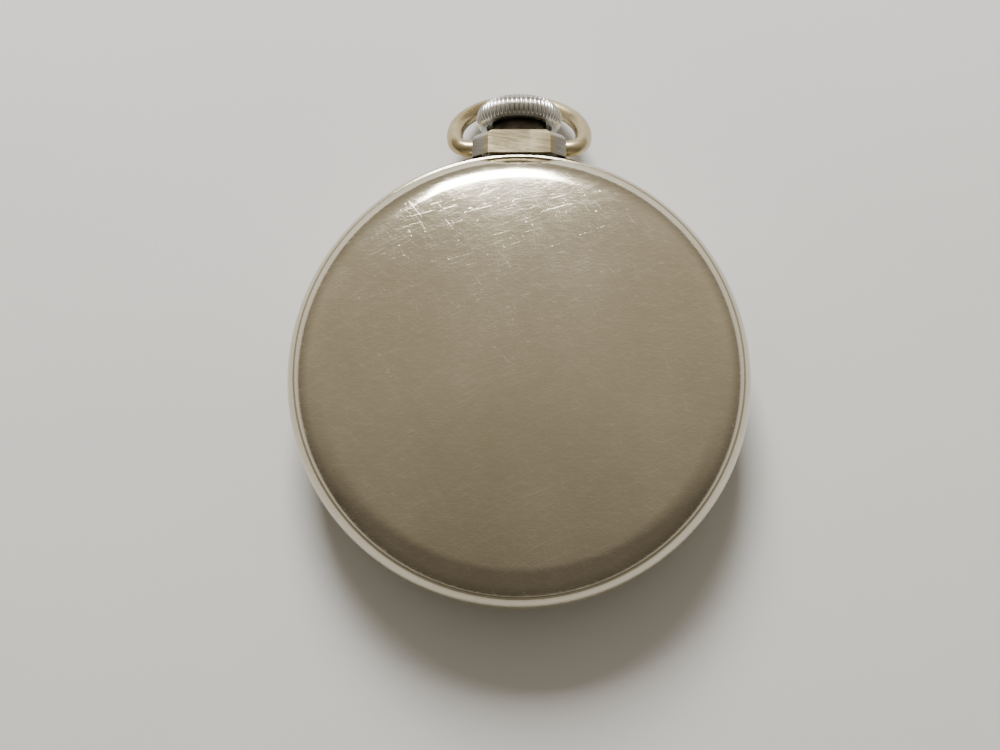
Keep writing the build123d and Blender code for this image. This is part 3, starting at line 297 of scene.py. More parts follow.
def bend(centre, radius, start, end, steps):
    """Points along an arc, its angles in degrees."""
    return [
        from_point(centre, radius, start + (end - start) * step / steps)
        for step in range(steps + 1)
    ]


def eased(profile, radius, steps=2):
    """Break each sharp corner of a closed profile with a small round."""
    rounded = []
    count = len(profile)
    for index, corner in enumerate(profile):
        before = Vector(profile[index - 1]) - Vector(corner)
        after = Vector(profile[(index + 1) % count]) - Vector(corner)
        turn = pi - before.angle(after, 0)
        on_axis = corner[0] < 1e-6
        if on_axis or turn < radians(24):
            rounded.append(corner)
            continue
        cut = min(radius, before.length * 0.45, after.length * 0.45)
        first = Vector(corner) + before.normalized() * cut
        last = Vector(corner) + after.normalized() * cut
        for step in range(steps + 1):
            share = step / steps
            lean = first.lerp(Vector(corner), share).lerp(Vector(corner).lerp(last, share), share)
            rounded.append((lean.x, lean.y))
    return rounded


def lathe(profile, around, spot):
    """Vertices and faces of a closed profile of radius and height turned about an axis."""
    vertices = []
    rings = []
    for radius, height in profile:
        if radius < 1e-6:
            rings.append([len(vertices)] * around)
            vertices.append(spot(0, height, 0))
            continue
        rings.append(list(range(len(vertices), len(vertices) + around)))
        vertices += [spot(radius, height, 2 * pi * step / around) for step in range(around)]
    faces = []
    for low, high in zip(rings, rings[1:] + rings[:1]):
        for step in range(around):
            following = (step + 1) % around
            corners = [low[step], low[following], high[following], high[step]]
            corners = list(dict.fromkeys(corners))
            if len(corners) > 2:
                faces.append(corners)
    return vertices, faces


def upright(radius, height, angle):
    """A point of a piece turned about the case's axis, from millimetres."""
    return (radius * cos(angle) * MM, radius * sin(angle) * MM, height * MM)


def case_paint(place):
    """Steel gone satin: short hairlines that lean all ways, broken arcs, a few nicks, clouding."""
    across = hairlines(place, 9000, 420, 0.08, 0.46, 0.70)
    slanted = hairlines(place, 7000, 480, 0.62, 0.52, 0.70)
    leaning = hairlines(place, 7500, 420, -0.42, 0.50, 0.70)
    steep = hairlines(place, 6500, 420, 1.35, 0.55, 0.72)
    deep = hairlines(place, 3200, 210, -0.28, 0.66, 0.70) + hairlines(
        place, 3000, 260, 0.95, 0.67, 0.71
    )
    patches = spread(grain(place, 260, detail=2), 0.48, 0.60)
    arcs = spread(rings(place, (9, -31), 5200), 0.60, 0.70) * patches
    nicks = spread(grain(place, 1900, detail=1), 0.72, 0.75)
    clouds = spread(grain(place, 60, detail=4), 0.3, 0.7)
    lines = across * 0.35 + slanted * 0.3 + leaning * 0.35 + steep * 0.25 + arcs * 0.25
    marks = deep * 0.7 + nicks
    return {
        "Base Color": shades(
            lines * 0.6 + clouds * 0.4, (0.54, 0.485, 0.37), (0.76, 0.70, 0.57)
        ),
        "Roughness": clouds * 0.05 + lines * 0.10 + marks * 0.08 + 0.085,
        "Normal": relief(lines + marks, 0.30, 0.000009),
    }


case_steel = finish("case_steel", {"Metallic": 1.0}, case_paint)
shoulder_at = from_point((cover_r, 10.1), shoulder_r, 180 + shoulder_start)
lip_z = seam_back_z + lip_t
lip_angle = degrees(asin((lip_z - shoulder_at[1]) / shoulder_r))
crest = from_point(shoulder_at, shoulder_r, shoulder_end)
dome_r = (crest[0] ** 2 + dome_h**2) / (2 * dome_h)
dome_at = (0, back_z - dome_r)
dome_angle = degrees(acos(crest[0] / dome_r))
inner_at = (0, back_z - wall - dome_r)
cover_profile = (
    bend(shoulder_at, shoulder_r, lip_angle, shoulder_end, 18)
    + bend(dome_at, dome_r, dome_angle, 90, 24)[1:]
    + bend(inner_at, dome_r, 90, dome_angle, 12)
    + [(cover_bore_r, skirt_z)]
    + [
        (cover_bore_r + (thread_depth if step % 2 else 0), thread_top_z - step * thread_step)
        for step in range(7)
    ]
    + [
        (cover_bore_r, seam_back_z),
        (cover_r, seam_back_z),
        (cover_r, lip_z),
    ]
)
cover_profile = [(radius if radius > 1e-4 else 0, height) for radius, height in cover_profile]
placed(
    "back_cover_shell",
    *lathe(eased(cover_profile, 0.05), 288, upright),
    case_steel,
    "case_steel",
    "back",
    ["back_cover"],
)

# ---- Case band ----
# The band is turned from the same steel, with a full round outside. A threaded neck stands up
# on each side of it for the back cover and the bezel.
band_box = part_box("case_band")
band_r = band_box[1].x / MM
band_back_z, band_front_z = 10.1, 4.9
band_back_r, band_front_r = 24.5, 24.6
neck_back_z = band_box[1].z / MM
neck_front_z = band_box[0].z / MM
back_neck_r, front_neck_r = 22.4, 23.4
back_bore_r, plate_bore_r, flange_bore_r = 21.9, 21.6, 22.0
bridge_z, ledge_z = 9.3, 5.4
neck_chamfer = 0.1


def through(start, middle, end, steps):
    """Points along the arc through three points."""
    ax, ay = start
    bx, by = middle
    cx, cy = end
    twice = 2 * (ax * (by - cy) + bx * (cy - ay) + cx * (ay - by))
    square_a, square_b, square_c = ax * ax + ay * ay, bx * bx + by * by, cx * cx + cy * cy
    x = (square_a * (by - cy) + square_b * (cy - ay) + square_c * (ay - by)) / twice
    y = (square_a * (cx - bx) + square_b * (ax - cx) + square_c * (bx - ax)) / twice
    radius = sqrt((ax - x) ** 2 + (ay - y) ** 2)
    first = degrees(atan2(ay - y, ax - x))
    last = degrees(atan2(cy - y, cx - x))
    return bend((x, y), radius, first, last, steps)


def thread(radius, low, high, turns, depth):
    """Points down a threaded neck, from its high end to its low end."""
    points = []
    pitch = (high - low) / turns
    for turn in range(turns):
        points.append((radius, high - turn * pitch))
        points.append((radius - depth, high - (turn + 0.5) * pitch))
    return points + [(radius, low)]


band_profile = (
    through(
        (band_front_r, band_front_z + neck_chamfer),
        (band_r, 7.4),
        (band_back_r, band_back_z - neck_chamfer),
        28,
    )
    + [(band_back_r - neck_chamfer, band_back_z), (back_neck_r, band_back_z)]
    + list(
        reversed(
            thread(back_neck_r, band_back_z + 0.25, neck_back_z - neck_chamfer, 4, thread_depth)
        )
    )
    + [(back_neck_r - neck_chamfer, neck_back_z), (back_bore_r, neck_back_z)]
    + [(back_bore_r, bridge_z), (plate_bore_r, bridge_z), (plate_bore_r, ledge_z)]
    + [(flange_bore_r, ledge_z), (flange_bore_r, neck_front_z)]
    + [(front_neck_r - neck_chamfer, neck_front_z)]
    + list(
        reversed(
            thread(front_neck_r, neck_front_z + neck_chamfer, band_front_z - 0.3, 5, thread_depth)
        )
    )
    + [(front_neck_r, band_front_z), (band_front_r - neck_chamfer, band_front_z)]
)
placed(
    "case_band_ring",
    *lathe(band_profile, 288, upright),
    case_steel,
    "case_steel",
    "case",
    ["case_band"],
)

# ---- Bezel ----
# A steel ring that screws on to the front of the band and holds the crystal. Its face is rolled
# inwards to the glass, and inside it a sloped wall runs down towards the dial.
bezel_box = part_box("bezel")
bezel_back_z = bezel_box[1].z / MM
bezel_profile = (
    through((band_front_r, bezel_back_z - 0.1), (23.83, 2.33), (21.95, 0.8), 20)
    + [(21.52, 0.86), (21.5, 1.5), (20.7, 1.5), (20.9, 3.3), (23.44, 3.3), (23.44, bezel_back_z)]
    + [(band_front_r - 0.1, bezel_back_z)]
)
placed(
    "bezel_ring",
    *lathe(eased(bezel_profile, 0.05), 288, upright),
    case_steel,
    "case_steel",
    "bezel_ring",
    ["bezel"],
)

# ---- Pendant ----
# A milled steel block on the band at twelve o'clock, with faceted shoulders and a round neck for
# the crown. Its upward flat is coloured a warmer yellow and a little lighter than its sides.
pendant_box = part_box("pendant")
block_half_w = pendant_box[1].x / MM
block_half_t = 3.2
facet_w, facet_t = 1.8, 1.5
block_low_y, block_high_y = 24.7, 27.4
neck_r = 3.1
neck_y = pendant_box[1].y / MM
sleeve_bore_r = 2.0
stem_z = 7.4


def about_stem(radius, height, angle):
    """A point of a piece turned about the stem's axis; its height leads out of the crown."""
    return (radius * cos(angle) * MM, height * MM, (stem_z + radius * sin(angle)) * MM)


def pendant_paint(place):
    """Milled steel rubbed smooth: faint short lines, and its upward flat coloured a warmer yellow and
    a little lighter than its sides.
    """
    lines = hairlines(place, 5200, 500, 0.15, 0.38, 0.72)
    spots = spread(grain(place, 420, detail=3), 0.42, 0.7)
    flat = spread(place.node("ShaderNodeSeparateXYZ", {}, {0: place}, output=2), 0.0100, 0.0104)
    steel = shades(lines * 0.5 + spots * 0.5, (0.46, 0.45, 0.42), (0.60, 0.585, 0.55))
    # The upward flat gets a warmer, lighter copy of the steel's colours.
    upward_flat_colour = shades(lines * 0.5 + spots * 0.5, (0.56, 0.48, 0.31), (0.70, 0.62, 0.43))
    return {
        "Base Color": place.node(
            "ShaderNodeMix", {"data_type": "RGBA"}, {0: flat, 6: steel, 7: upward_flat_colour}, output=2
        ),
        "Roughness": lines * 0.08 + spots * 0.08 + 0.2,
        "Normal": relief(lines + spots * 0.5, 0.12, 0.00001),
    }


pendant_steel = finish("pendant_steel", {"Metallic": 1.0}, pendant_paint)
section = [
    (block_half_w, facet_t - block_half_t),
    (block_half_w, block_half_t - facet_t),
    (block_half_w - facet_w, block_half_t),
    (facet_w - block_half_w, block_half_t),
    (-block_half_w, block_half_t - facet_t),
    (-block_half_w, facet_t - block_half_t),
    (facet_w - block_half_w, -block_half_t),
    (block_half_w - facet_w, -block_half_t),
]
ring_count = len(section)
corner_r = 0.9
corner_at = (block_half_w - corner_r, block_high_y - corner_r)
shoulders = [(block_half_w, block_low_y)] + bend(corner_at, corner_r, 0, 90, 8)
block_vertices = [
    (x * out / block_half_w * MM, y * MM, (stem_z + z) * MM)
    for out, y in shoulders
    for x, z in section
]
last_ring = (len(shoulders) - 1) * ring_count
block_faces = [list(range(ring_count)), list(range(last_ring, last_ring + ring_count))]
for ring in range(len(shoulders) - 1):
    for step in range(ring_count):
        low = ring * ring_count + step
        following = ring * ring_count + (step + 1) % ring_count
        block_faces.append([low, following, following + ring_count, low + ring_count])


def bevelled(piece, width, segments=3):
    """Round a piece's edges with a live bevel."""
    edge = piece.modifiers.new("edge", "BEVEL")
    edge.width = width * MM
    edge.segments = segments
    edge.limit_method = "ANGLE"
    edge.angle_limit = radians(20)
    edge.harden_normals = False


block = placed(
    "pendant_block", block_vertices, block_faces, pendant_steel, "pendant_steel", "case", ["pendant"]
)
bevelled(block, 0.28, 4)
tongue_half_w, tongue_half_t = 4.2, 2.2
tongue_profile = [
    (x * MM, y * MM, (stem_z + z) * MM)
    for y in (23.5, block_low_y + 0.2)
    for x, z in (
        (tongue_half_w, -tongue_half_t),
        (tongue_half_w, tongue_half_t),
        (-tongue_half_w, tongue_half_t),
        (-tongue_half_w, -tongue_half_t),
    )
]
placed(
    "pendant_root",
    tongue_profile,
    [(0, 1, 2, 3), (4, 5, 6, 7), (0, 1, 5, 4), (1, 2, 6, 5), (2, 3, 7, 6), (3, 0, 4, 7)],
    pendant_steel,
    "pendant_steel",
    "case",
)
neck_profile = [
    (neck_r, block_high_y - 0.5),
    (neck_r, neck_y - 0.2),
    (neck_r - 0.2, neck_y),
    (sleeve_bore_r, neck_y),
    (sleeve_bore_r, block_high_y - 0.5),
]


def neck_paint(place):
    """Steel under the crown, coloured near-black as painted shade for the crown's dark recess, with a
    faint mottle.
    """
    shade_mottle = spread(grain(place, 700, detail=4), 0.3, 0.7)
    return {
        "Base Color": shades(shade_mottle, (0.05, 0.042, 0.032), (0.17, 0.145, 0.11)),
        "Roughness": shade_mottle * 0.2 + 0.3,
        "Normal": relief(shade_mottle, 0.1, 0.00001),
    }


# The neck's near-black colour is painted shade, standing in for the dark inside of the crown's recess.
placed(
    "pendant_neck",
    *lathe(neck_profile, 96, about_stem),
    finish("neck_steel_painted_shade", {"Metallic": 1.0}, neck_paint),
    "pendant_steel",
    "case",
)

# ---- Bow ----
# One length of nickel silver wire bent to a ring, its ends sprung into the pendant's sides.
# It lies drooped with its far end on the table.
wire_r = 0.95
ring_r = 7.45
ring_v = 3.0
bend_r = 1.8
bow_y = 26.3
bow_tip_x = block_half_w - 1.2
droop = asin((stem_z - wire_r - 0.03) / (ring_v + ring_r))
bend_x = sqrt((ring_r - bend_r) ** 2 - (ring_v - bend_r) ** 2)
join_angle = degrees(atan2(bend_r - ring_v, bend_x))
half_path = (
    [(bow_tip_x, 0), (bend_x * 0.5 + bow_tip_x * 0.5, 0)]
    + bend((bend_x, bend_r), bend_r, -90, join_angle, 14)
    + bend((0, ring_v), ring_r, join_angle, 90, 46)[1:]
)
bow_path = half_path + [(-x, v) for x, v in reversed(half_path[:-1])]
bow_out = Vector((0, cos(droop), -sin(droop)))
bow_up = Vector((0, sin(droop), cos(droop)))
bow_middle = Vector((0, bow_y, stem_z))
bow_around = 40
bow_vertices = []
for index, (x, v) in enumerate(bow_path):
    before = Vector(bow_path[max(index - 1, 0)])
    after = Vector(bow_path[min(index + 1, len(bow_path) - 1)])
    along = (after - before).normalized()
    sideways = Vector((1, 0, 0)) * along.y - bow_out * along.x
    centre = bow_middle + Vector((x, 0, 0)) + bow_out * v
    for step in range(bow_around):
        turn = 2 * pi * step / bow_around
        point = centre + (sideways * cos(turn) + bow_up * sin(turn)) * wire_r
        bow_vertices.append(point * MM)
bow_faces = []
for index in range(len(bow_path) - 1):
    for step in range(bow_around):
        following = (step + 1) % bow_around
        low = index * bow_around
        high = low + bow_around
        bow_faces.append([low + step, low + following, high + following, high + step])
bow_faces.append(list(range(bow_around)))
bow_faces.append(list(range(len(bow_vertices) - bow_around, len(bow_vertices))))


def bow_paint(place):
    """Pale gold nickel silver, dulled, with worn bright spots."""
    dull = spread(grain(place, 160, detail=4), 0.35, 0.7)
    fine = spread(grain(place, 2600, detail=2), 0.3, 0.8)
    return {
        "Base Color": shades(dull, (0.42, 0.34, 0.19), (0.62, 0.53, 0.34)),
        "Roughness": dull * 0.12 + fine * 0.08 + 0.2,
        "Normal": relief(fine + dull * 2, 0.12, 0.00003),
    }


bow_silver = finish("bow_silver", {"Metallic": 1.0}, bow_paint)
placed("bow_wire", bow_vertices, bow_faces, bow_silver, "bow_silver", "bow_ring", ["bow"])

# ---- Crown ----
# A turned crown with fifty-six rounded flutes, a polished rim on each side of them, and a recess
# that covers the pendant's neck.
crown_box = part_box("crown")
crown_r = 4.875
crown_low_y, crown_high_y = crown_box[0].y / MM, crown_box[1].y / MM
crown_recess_r, crown_recess_h = 3.7, 1.5
flutes = 56
flute_steps = 8
flute_depth = 0.24
rim_y = crown_high_y - 0.2
crown_outside = through(
    (crown_r - 0.55, crown_low_y), (crown_r, crown_low_y + 1.15), (crown_r - 0.75, rim_y), 30
)
crown_end = through((crown_r - 0.75, rim_y), (crown_r / 2, rim_y + 0.15), (0, crown_high_y), 12)[1:]
crown_profile = (
    crown_outside
    + [(radius if radius > 1e-3 else 0, height) for radius, height in crown_end]
    + [(0, crown_low_y + crown_recess_h)]
    + [(crown_recess_r - 0.1, crown_low_y + crown_recess_h)]
    + [(crown_recess_r, crown_low_y + crown_recess_h - 0.1)]
    + [(crown_recess_r, crown_low_y + 0.08), (crown_recess_r + 0.08, crown_low_y)]
)


def fluted(radius, height, angle):
    """A point of the crown; the flutes sink in between its two rims."""
    share = (height - crown_low_y) / (rim_y - crown_low_y)
    window = min(max((share - 0.07) / 0.10, 0), 1) * min(max((0.97 - share) / 0.12, 0), 1)
    outer = 1 if radius > crown_recess_r + 0.3 else 0
    wave = abs(sin(angle * flutes / 2)) ** 0.75
    sunk = flute_depth * (1 - wave) * window * outer
    return about_stem(radius - sunk, height, angle)


def crown_paint(place):
    """Bright steel with fine turning marks on the end."""
    fine = spread(grain(place, 3200, detail=3), 0.3, 0.8)
    dull = spread(grain(place, 300, detail=3), 0.35, 0.7)
    return {
        "Base Color": shades(dull, (0.50, 0.485, 0.45), (0.66, 0.645, 0.61)),
        "Roughness": dull * 0.1 + fine * 0.1 + 0.16,
        "Normal": relief(fine, 0.1, 0.00002),
    }


crown_steel = finish("crown_steel", {"Metallic": 1.0}, crown_paint)
placed(
    "crown_fluted",
    *lathe(crown_profile, flutes * flute_steps, fluted),
    crown_steel,
    "crown_steel",
    "crown_and_stem",
    ["crown"],
    angle=40,
)

# ---- Crystal ----
# Flat mineral glass with a bevelled edge, pressed into the bezel.


def glass_paint(place):
    """Clear glass with a trace of wiped haze."""
    return {"Roughness": spread(grain(place, 90, detail=3), 0.4, 0.9, 0.0, 0.05)}


crystal_glass = finish(
    "crystal_glass",
    {"Base Color": (0.97, 0.985, 0.98, 1), "Transmission Weight": 1.0, "IOR": 1.5},
    glass_paint,
)
crystal_profile = [(0, 0), (20.9, 0), (21.5, 0.6), (21.5, 1.5), (0, 1.5)]
placed(
    "crystal_disc",
    *lathe(eased(crystal_profile, 0.04), 192, upright),
    crystal_glass,
    "crystal_glass",
    "bezel_ring",
    ["crystal"],
)

# ---- Dial ----
# A copper disc fired with white enamel, with a seconds circle sunk below its middle. Its tracks
# and its numerals are black enamel, printed and fired on.
dial_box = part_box("dial")
dial_z = dial_box[0].z / MM
seconds_y, seconds_sink_t = -11.0, 0.15
print_t = 0.012


def enamel_paint(place):
    """White enamel with the faintest mottle and orange-peel."""
    mottle = spread(grain(place, 120, detail=4), 0.3, 0.7)
    peel = grain(place, 900, detail=1)
    return {
        "Base Color": shades(mottle, (0.82, 0.80, 0.74), (0.87, 0.86, 0.81)),
        "Roughness": mottle * 0.05 + 0.10,
        "Normal": relief(peel, 0.06, 0.00002),
    }


def ink_paint(place):
    """Black enamel, a little uneven in its depth."""
    depth = spread(grain(place, 1500, detail=2), 0.3, 0.7)
    return {
        "Base Color": shades(depth, (0.008, 0.008, 0.010), (0.022, 0.021, 0.022)),
        "Roughness": depth * 0.1 + 0.22,
    }


enamel = finish("enamel", {"Coat Weight": 0.4}, enamel_paint)
dial_ink = finish("dial_ink", {}, ink_paint)
dress("dial", enamel)


def tree_of(name, sizes):
    """An empty Geometry Nodes tree with named sizes; gives its tree, its inputs and their ids."""
    tree = bpy.data.node_groups.new(name, "GeometryNodeTree")
    tree.interface.new_socket("Geometry", in_out="INPUT", socket_type="NodeSocketGeometry")
    ids = {}
    for size, kind in sizes.items():
        made = tree.interface.new_socket(size, in_out="INPUT", socket_type=kind)
        ids[size] = made.identifier
    tree.interface.new_socket("Geometry", in_out="OUTPUT", socket_type="NodeSocketGeometry")
    return tree, tree.nodes.new("NodeGroupInput"), ids


def step_of(tree, kind, settings=None, values=None):
    """Add a node to a Geometry Nodes tree; its inputs take numbers or other nodes' sockets."""
    made = tree.nodes.new(kind)
    for name, setting in (settings or {}).items():
        setattr(made, name, setting)
    for name, value in (values or {}).items():
        if isinstance(value, bpy.types.NodeSocket):
            tree.links.new(value, made.inputs[name])
        else:
            made.inputs[name].default_value = value
    return made


def ended(tree, instances, material):
    """Close a tree: make the copies real and give them their material."""
    real = step_of(tree, "GeometryNodeRealizeInstances", {}, {"Geometry": instances})
    dressed = step_of(
        tree, "GeometryNodeSetMaterial", {}, {"Geometry": real.outputs[0], "Material": material}
    )
    out = tree.nodes.new("NodeGroupOutput")
    tree.links.new(dressed.outputs[0], out.inputs[0])


def grown(name, tree, ids, sizes, start, body, replaced=()):
    """Run a tree on its start mesh, keep the result as a plain mesh and fix it to its body."""
    base = bpy.data.meshes.new(name + "_start")
    base.from_pydata(start, [], [])
    maker = bpy.data.objects.new(name + "_maker", base)
    scene.collection.objects.link(maker)
    live = maker.modifiers.new("nodes", "NODES")
    live.node_group = tree
    for size, value in sizes.items():
        live[ids[size]] = value
    bpy.context.view_layer.update()
    result = bpy.data.meshes.new_from_object(
        maker.evaluated_get(bpy.context.evaluated_depsgraph_get())
    )
    bpy.data.objects.remove(maker)
    result.name = name
    turn_out(result)
    smooth(result)
    piece = bpy.data.objects.new(name, result)
    scene.collection.objects.link(piece)
    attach(piece, body)
    if replaced:
        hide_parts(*replaced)
    return piece


tick_tree, tick_in, tick_ids = tree_of(
    "ticks_round_a_circle",
    {
        "Count": "NodeSocketInt",
        "Radius": "NodeSocketFloat",
        "Size": "NodeSocketVector",
        "Middle": "NodeSocketVector",
    },
)
tick_circle = step_of(
    tick_tree,
    "GeometryNodeMeshCircle",
    {},
    {"Vertices": tick_in.outputs["Count"], "Radius": tick_in.outputs["Radius"]},
)
tick_mark = step_of(tick_tree, "GeometryNodeMeshCube", {}, {"Size": tick_in.outputs["Size"]})
tick_place = step_of(tick_tree, "GeometryNodeInputPosition")
tick_turn = step_of(
    tick_tree,
    "FunctionNodeAlignRotationToVector",
    {"axis": "X"},
    {"Vector": tick_place.outputs[0]},
)
tick_copies = step_of(
    tick_tree,
    "GeometryNodeInstanceOnPoints",
    {},
    {
        "Points": tick_circle.outputs[0],
        "Instance": tick_mark.outputs[0],
        "Rotation": tick_turn.outputs[0],
    },
)
tick_moved = step_of(
    tick_tree,
    "GeometryNodeTransform",
    {},
    {"Geometry": tick_copies.outputs[0], "Translation": tick_in.outputs["Middle"]},
)
ended(tick_tree, tick_moved.outputs[0], dial_ink)


def ticks(name, count, radius, length, width, middle_y, low_z):
    """One ring of printed ticks, in millimetres."""
    sizes = {
        "Count": count,
        "Radius": radius * MM,
        "Size": (length * MM, width * MM, print_t * MM),
        "Middle": (0, middle_y * MM, (low_z - print_t / 2) * MM),
    }
    grown(name, tick_tree, tick_ids, sizes, [(0, 0, 0)], "case")


ticks("minute_ticks", 60, 19.85, 0.75, 0.13, 0, dial_z)
ticks("five_minute_ticks", 12, 19.85, 0.78, 0.38, 0, dial_z)
ticks("seconds_ticks", 60, 4.05, 0.42, 0.07, seconds_y, dial_z + seconds_sink_t)
ticks("five_seconds_ticks", 12, 3.95, 0.62, 0.14, seconds_y, dial_z + seconds_sink_t)


def printed_ring(name, radius, width, middle_y, low_z):
    """One thin printed circle, in millimetres."""
    ring_profile = [
        (radius, low_z - print_t),
        (radius + width, low_z - print_t),
        (radius + width, low_z),
        (radius, low_z),
    ]

    def spot(out, height, angle):
        x, y, z = upright(out, height, angle)
        return (x, y + middle_y * MM, z)

    placed(name, *lathe(ring_profile, 180, spot), dial_ink, "enamel", "case")


printed_ring("minute_track_outer", 20.24, 0.09, 0, dial_z)
printed_ring("minute_track_inner", 19.40, 0.07, 0, dial_z)
printed_ring("seconds_track_outer", 4.27, 0.05, seconds_y, dial_z + seconds_sink_t)
printed_ring("seconds_track_inner", 3.80, 0.05, seconds_y, dial_z + seconds_sink_t)


def numeral(text, dial_angle, radius, height, middle_y, low_z):
    """A printed numeral, upright to someone who reads the dial from the front."""
    curve = bpy.data.curves.new("numeral_" + text, "FONT")
    curve.body = text
    curve.size = height * MM * 1.4
    curve.align_x = "CENTER"
    curve.align_y = "CENTER"
    curve.extrude = print_t * MM / 2
    curve.resolution_u = 5
    holder = bpy.data.objects.new("numeral_" + text, curve)
    scene.collection.objects.link(holder)
    bpy.context.view_layer.update()
    mesh = bpy.data.meshes.new_from_object(
        holder.evaluated_get(bpy.context.evaluated_depsgraph_get())
    )
    bpy.data.objects.remove(holder)
    turn = radians(dial_angle)
    xs = [vertex.co.x for vertex in mesh.vertices]
    ys = [vertex.co.y for vertex in mesh.vertices]
    middle = ((min(xs) + max(xs)) / 2, (min(ys) + max(ys)) / 2)
    for vertex in mesh.vertices:
        x, y, z = vertex.co
        vertex.co = (
            middle[0] - x - radius * sin(turn) * MM,
            y - middle[1] + (radius * cos(turn) + middle_y) * MM,
            (low_z - print_t / 2) * MM - z,
        )
    return mesh


def numerals(name, marks, radius, height, middle_y, low_z):
    """A ring of numerals as one piece."""
    work = bmesh.new()
    for text, dial_angle in marks:
        made = numeral(text, dial_angle, radius, height, middle_y, low_z)
        work.from_mesh(made)
        bpy.data.meshes.remove(made)
    mesh = bpy.data.meshes.new(name)
    work.to_mesh(mesh)
    work.free()
    turn_out(mesh)
    smooth(mesh)
    mesh.materials.append(dial_ink)
    piece = bpy.data.objects.new(name, mesh)
    scene.collection.objects.link(piece)
    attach(piece, "case")


hours = [(str(hour), hour * 30) for hour in range(1, 13) if hour != 6]
numerals("hour_numerals", hours, 16.6, 3.2, 0, dial_z)
seconds = [("60", 0), ("15", 90), ("30", 180), ("45", 270)]
numerals("seconds_numerals", seconds, 3.05, 0.62, seconds_y, dial_z + seconds_sink_t)

# ---- Hands, springs and other blued steel ----
# Hands, screws and the balance spring are steel, polished and then heated until they turn blue.


def blued_paint(place):
    """Deep blue that leans to violet, with soft wear."""
    drift = spread(grain(place, 500, detail=2), 0.3, 0.7)
    fine = spread(grain(place, 6000, detail=2), 0.3, 0.7)
    return {
        "Base Color": shades(drift, (0.020, 0.040, 0.220), (0.050, 0.060, 0.300)),
        "Roughness": drift * 0.06 + fine * 0.08 + 0.18,
        "Normal": relief(fine, 0.05, 0.000005),
    }


blued_steel = finish("blued_steel", {"Metallic": 1.0}, blued_paint)
for node in ("hour_hand", "minute_hand", "seconds_hand", "hairspring", "mainspring"):
    dress(node, blued_steel)

# ---- Bridges, cock and main plate ----
# Nickel plates milled from sheet. Their tops carry straight damascened stripes, laid across the
# movement, and their edges are plain.


def striped_paint(place):
    """Nickel with broad stripes, each polished one way, and a fine grain."""
    stripes = place.node(
        "ShaderNodeTexWave",
        {"wave_type": "BANDS", "bands_direction": "DIAGONAL", "wave_profile": "SAW"},
        {"Vector": place, "Scale": 95.0, "Distortion": 0.0},
        output=1,
    )
    lines = hairlines(place, 7000, 300, 0.78, 0.35, 0.7)
    clouds = spread(grain(place, 90, detail=3), 0.3, 0.7)
    return {
        "Base Color": shades(
            stripes * 0.6 + clouds * 0.4, (0.56, 0.545, 0.50), (0.76, 0.745, 0.70)
        ),
        "Roughness": stripes * 0.14 + lines * 0.08 + 0.18,
        "Normal": relief(stripes * 3 + lines, 0.15, 0.00001),
    }


bridge_nickel = finish("bridge_nickel", {"Metallic": 1.0}, striped_paint)
for node in ("main_plate", "barrel_bridge", "train_bridge", "pallet_bridge", "balance_cock"):
    dress(node, bridge_nickel)

# ---- Gilt wheels, barrel and balance ----
# Brass wheels, cut, gilded and finely grained, with bright arms.


def gilt_paint(place):
    """Gilt brass with a fine matt grain and a little darkening."""
    fine = spread(grain(place, 5200, detail=3), 0.3, 0.7)
    aged = spread(grain(place, 260, detail=3), 0.35, 0.75)
    return {
        "Base Color": shades(aged, (0.72, 0.50, 0.20), (0.86, 0.64, 0.30)),
        "Roughness": fine * 0.12 + aged * 0.08 + 0.2,
        "Normal": relief(fine, 0.10, 0.00001),
    }


wheel_brass = finish("wheel_brass", {"Metallic": 1.0}, gilt_paint)
gilt_nodes = (
    "barrel",
    "barrel_cover",
    "centre_wheel",
    "third_wheel",
    "fourth_wheel",
    "minute_wheel",
    "hour_wheel",
    "cannon_pinion",
    "balance_wheel",
    "balance_screws",
)
for node in gilt_nodes:
    dress(node, wheel_brass)

# ---- Ratchet wheel and crown wheel ----
# Steel wheels on top of the barrel bridge. Each is ground in rings about its own axis.


def ringed_paint(centre):
    """Ground steel with rings about one axis."""

    def paint(place):
        marks = spread(rings(place, centre, 9000), 0.3, 0.7)
        clouds = spread(grain(place, 300, detail=2), 0.3, 0.7)
        return {
            "Base Color": shades(marks * 0.6 + clouds * 0.4, (0.50, 0.49, 0.48), (0.70, 0.69, 0.67)),
            "Roughness": marks * 0.14 + 0.16,
            "Normal": relief(marks, 0.18, 0.00001),
        }

    return paint


for node in ("ratchet_wheel", "crown_wheel"):
    wheel_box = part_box(node)
    wheel_middle = (wheel_box[0] + wheel_box[1]) / 2 / MM
    painted = ringed_paint((wheel_middle.x, wheel_middle.y))
    dress(node, finish(node + "_steel", {"Metallic": 1.0}, painted))

# ---- Polished steel ----
# Pinions, arbors, the pallet fork, the click and its spring, the stem and its sleeve are hardened
# steel, polished.


def polished_paint(place):
    """Bright steel with the faintest polishing lines."""
    fine = hairlines(place, 8000, 500, 0.4, 0.4, 0.75)
    dull = spread(grain(place, 400, detail=3), 0.35, 0.75)
    return {
        "Base Color": shades(dull, (0.55, 0.545, 0.53), (0.68, 0.675, 0.66)),
        "Roughness": fine * 0.06 + dull * 0.08 + 0.10,
        "Normal": relief(fine, 0.05, 0.000005),
    }


polished_steel = finish("polished_steel", {"Metallic": 1.0}, polished_paint)
polished_nodes = (
    "stem",
    "sleeve",
    "winding_arbor",
    "winding_pinion",
    "click",
    "click_spring",
    "centre_pinion",
    "third_pinion",
    "fourth_pinion",
    "escape_pinion",
    "escape_wheel",
    "pallet_fork",
    "pallet_arbor",
    "balance_staff",
    "barrel_arbor",
    "regulator",
    "hairspring_stud",
)
for node in polished_nodes:
    dress(node, polished_steel)

# ---- Jewels ----
# Red synthetic rubies, turned and polished, pressed into the plates and set in the pallet fork.


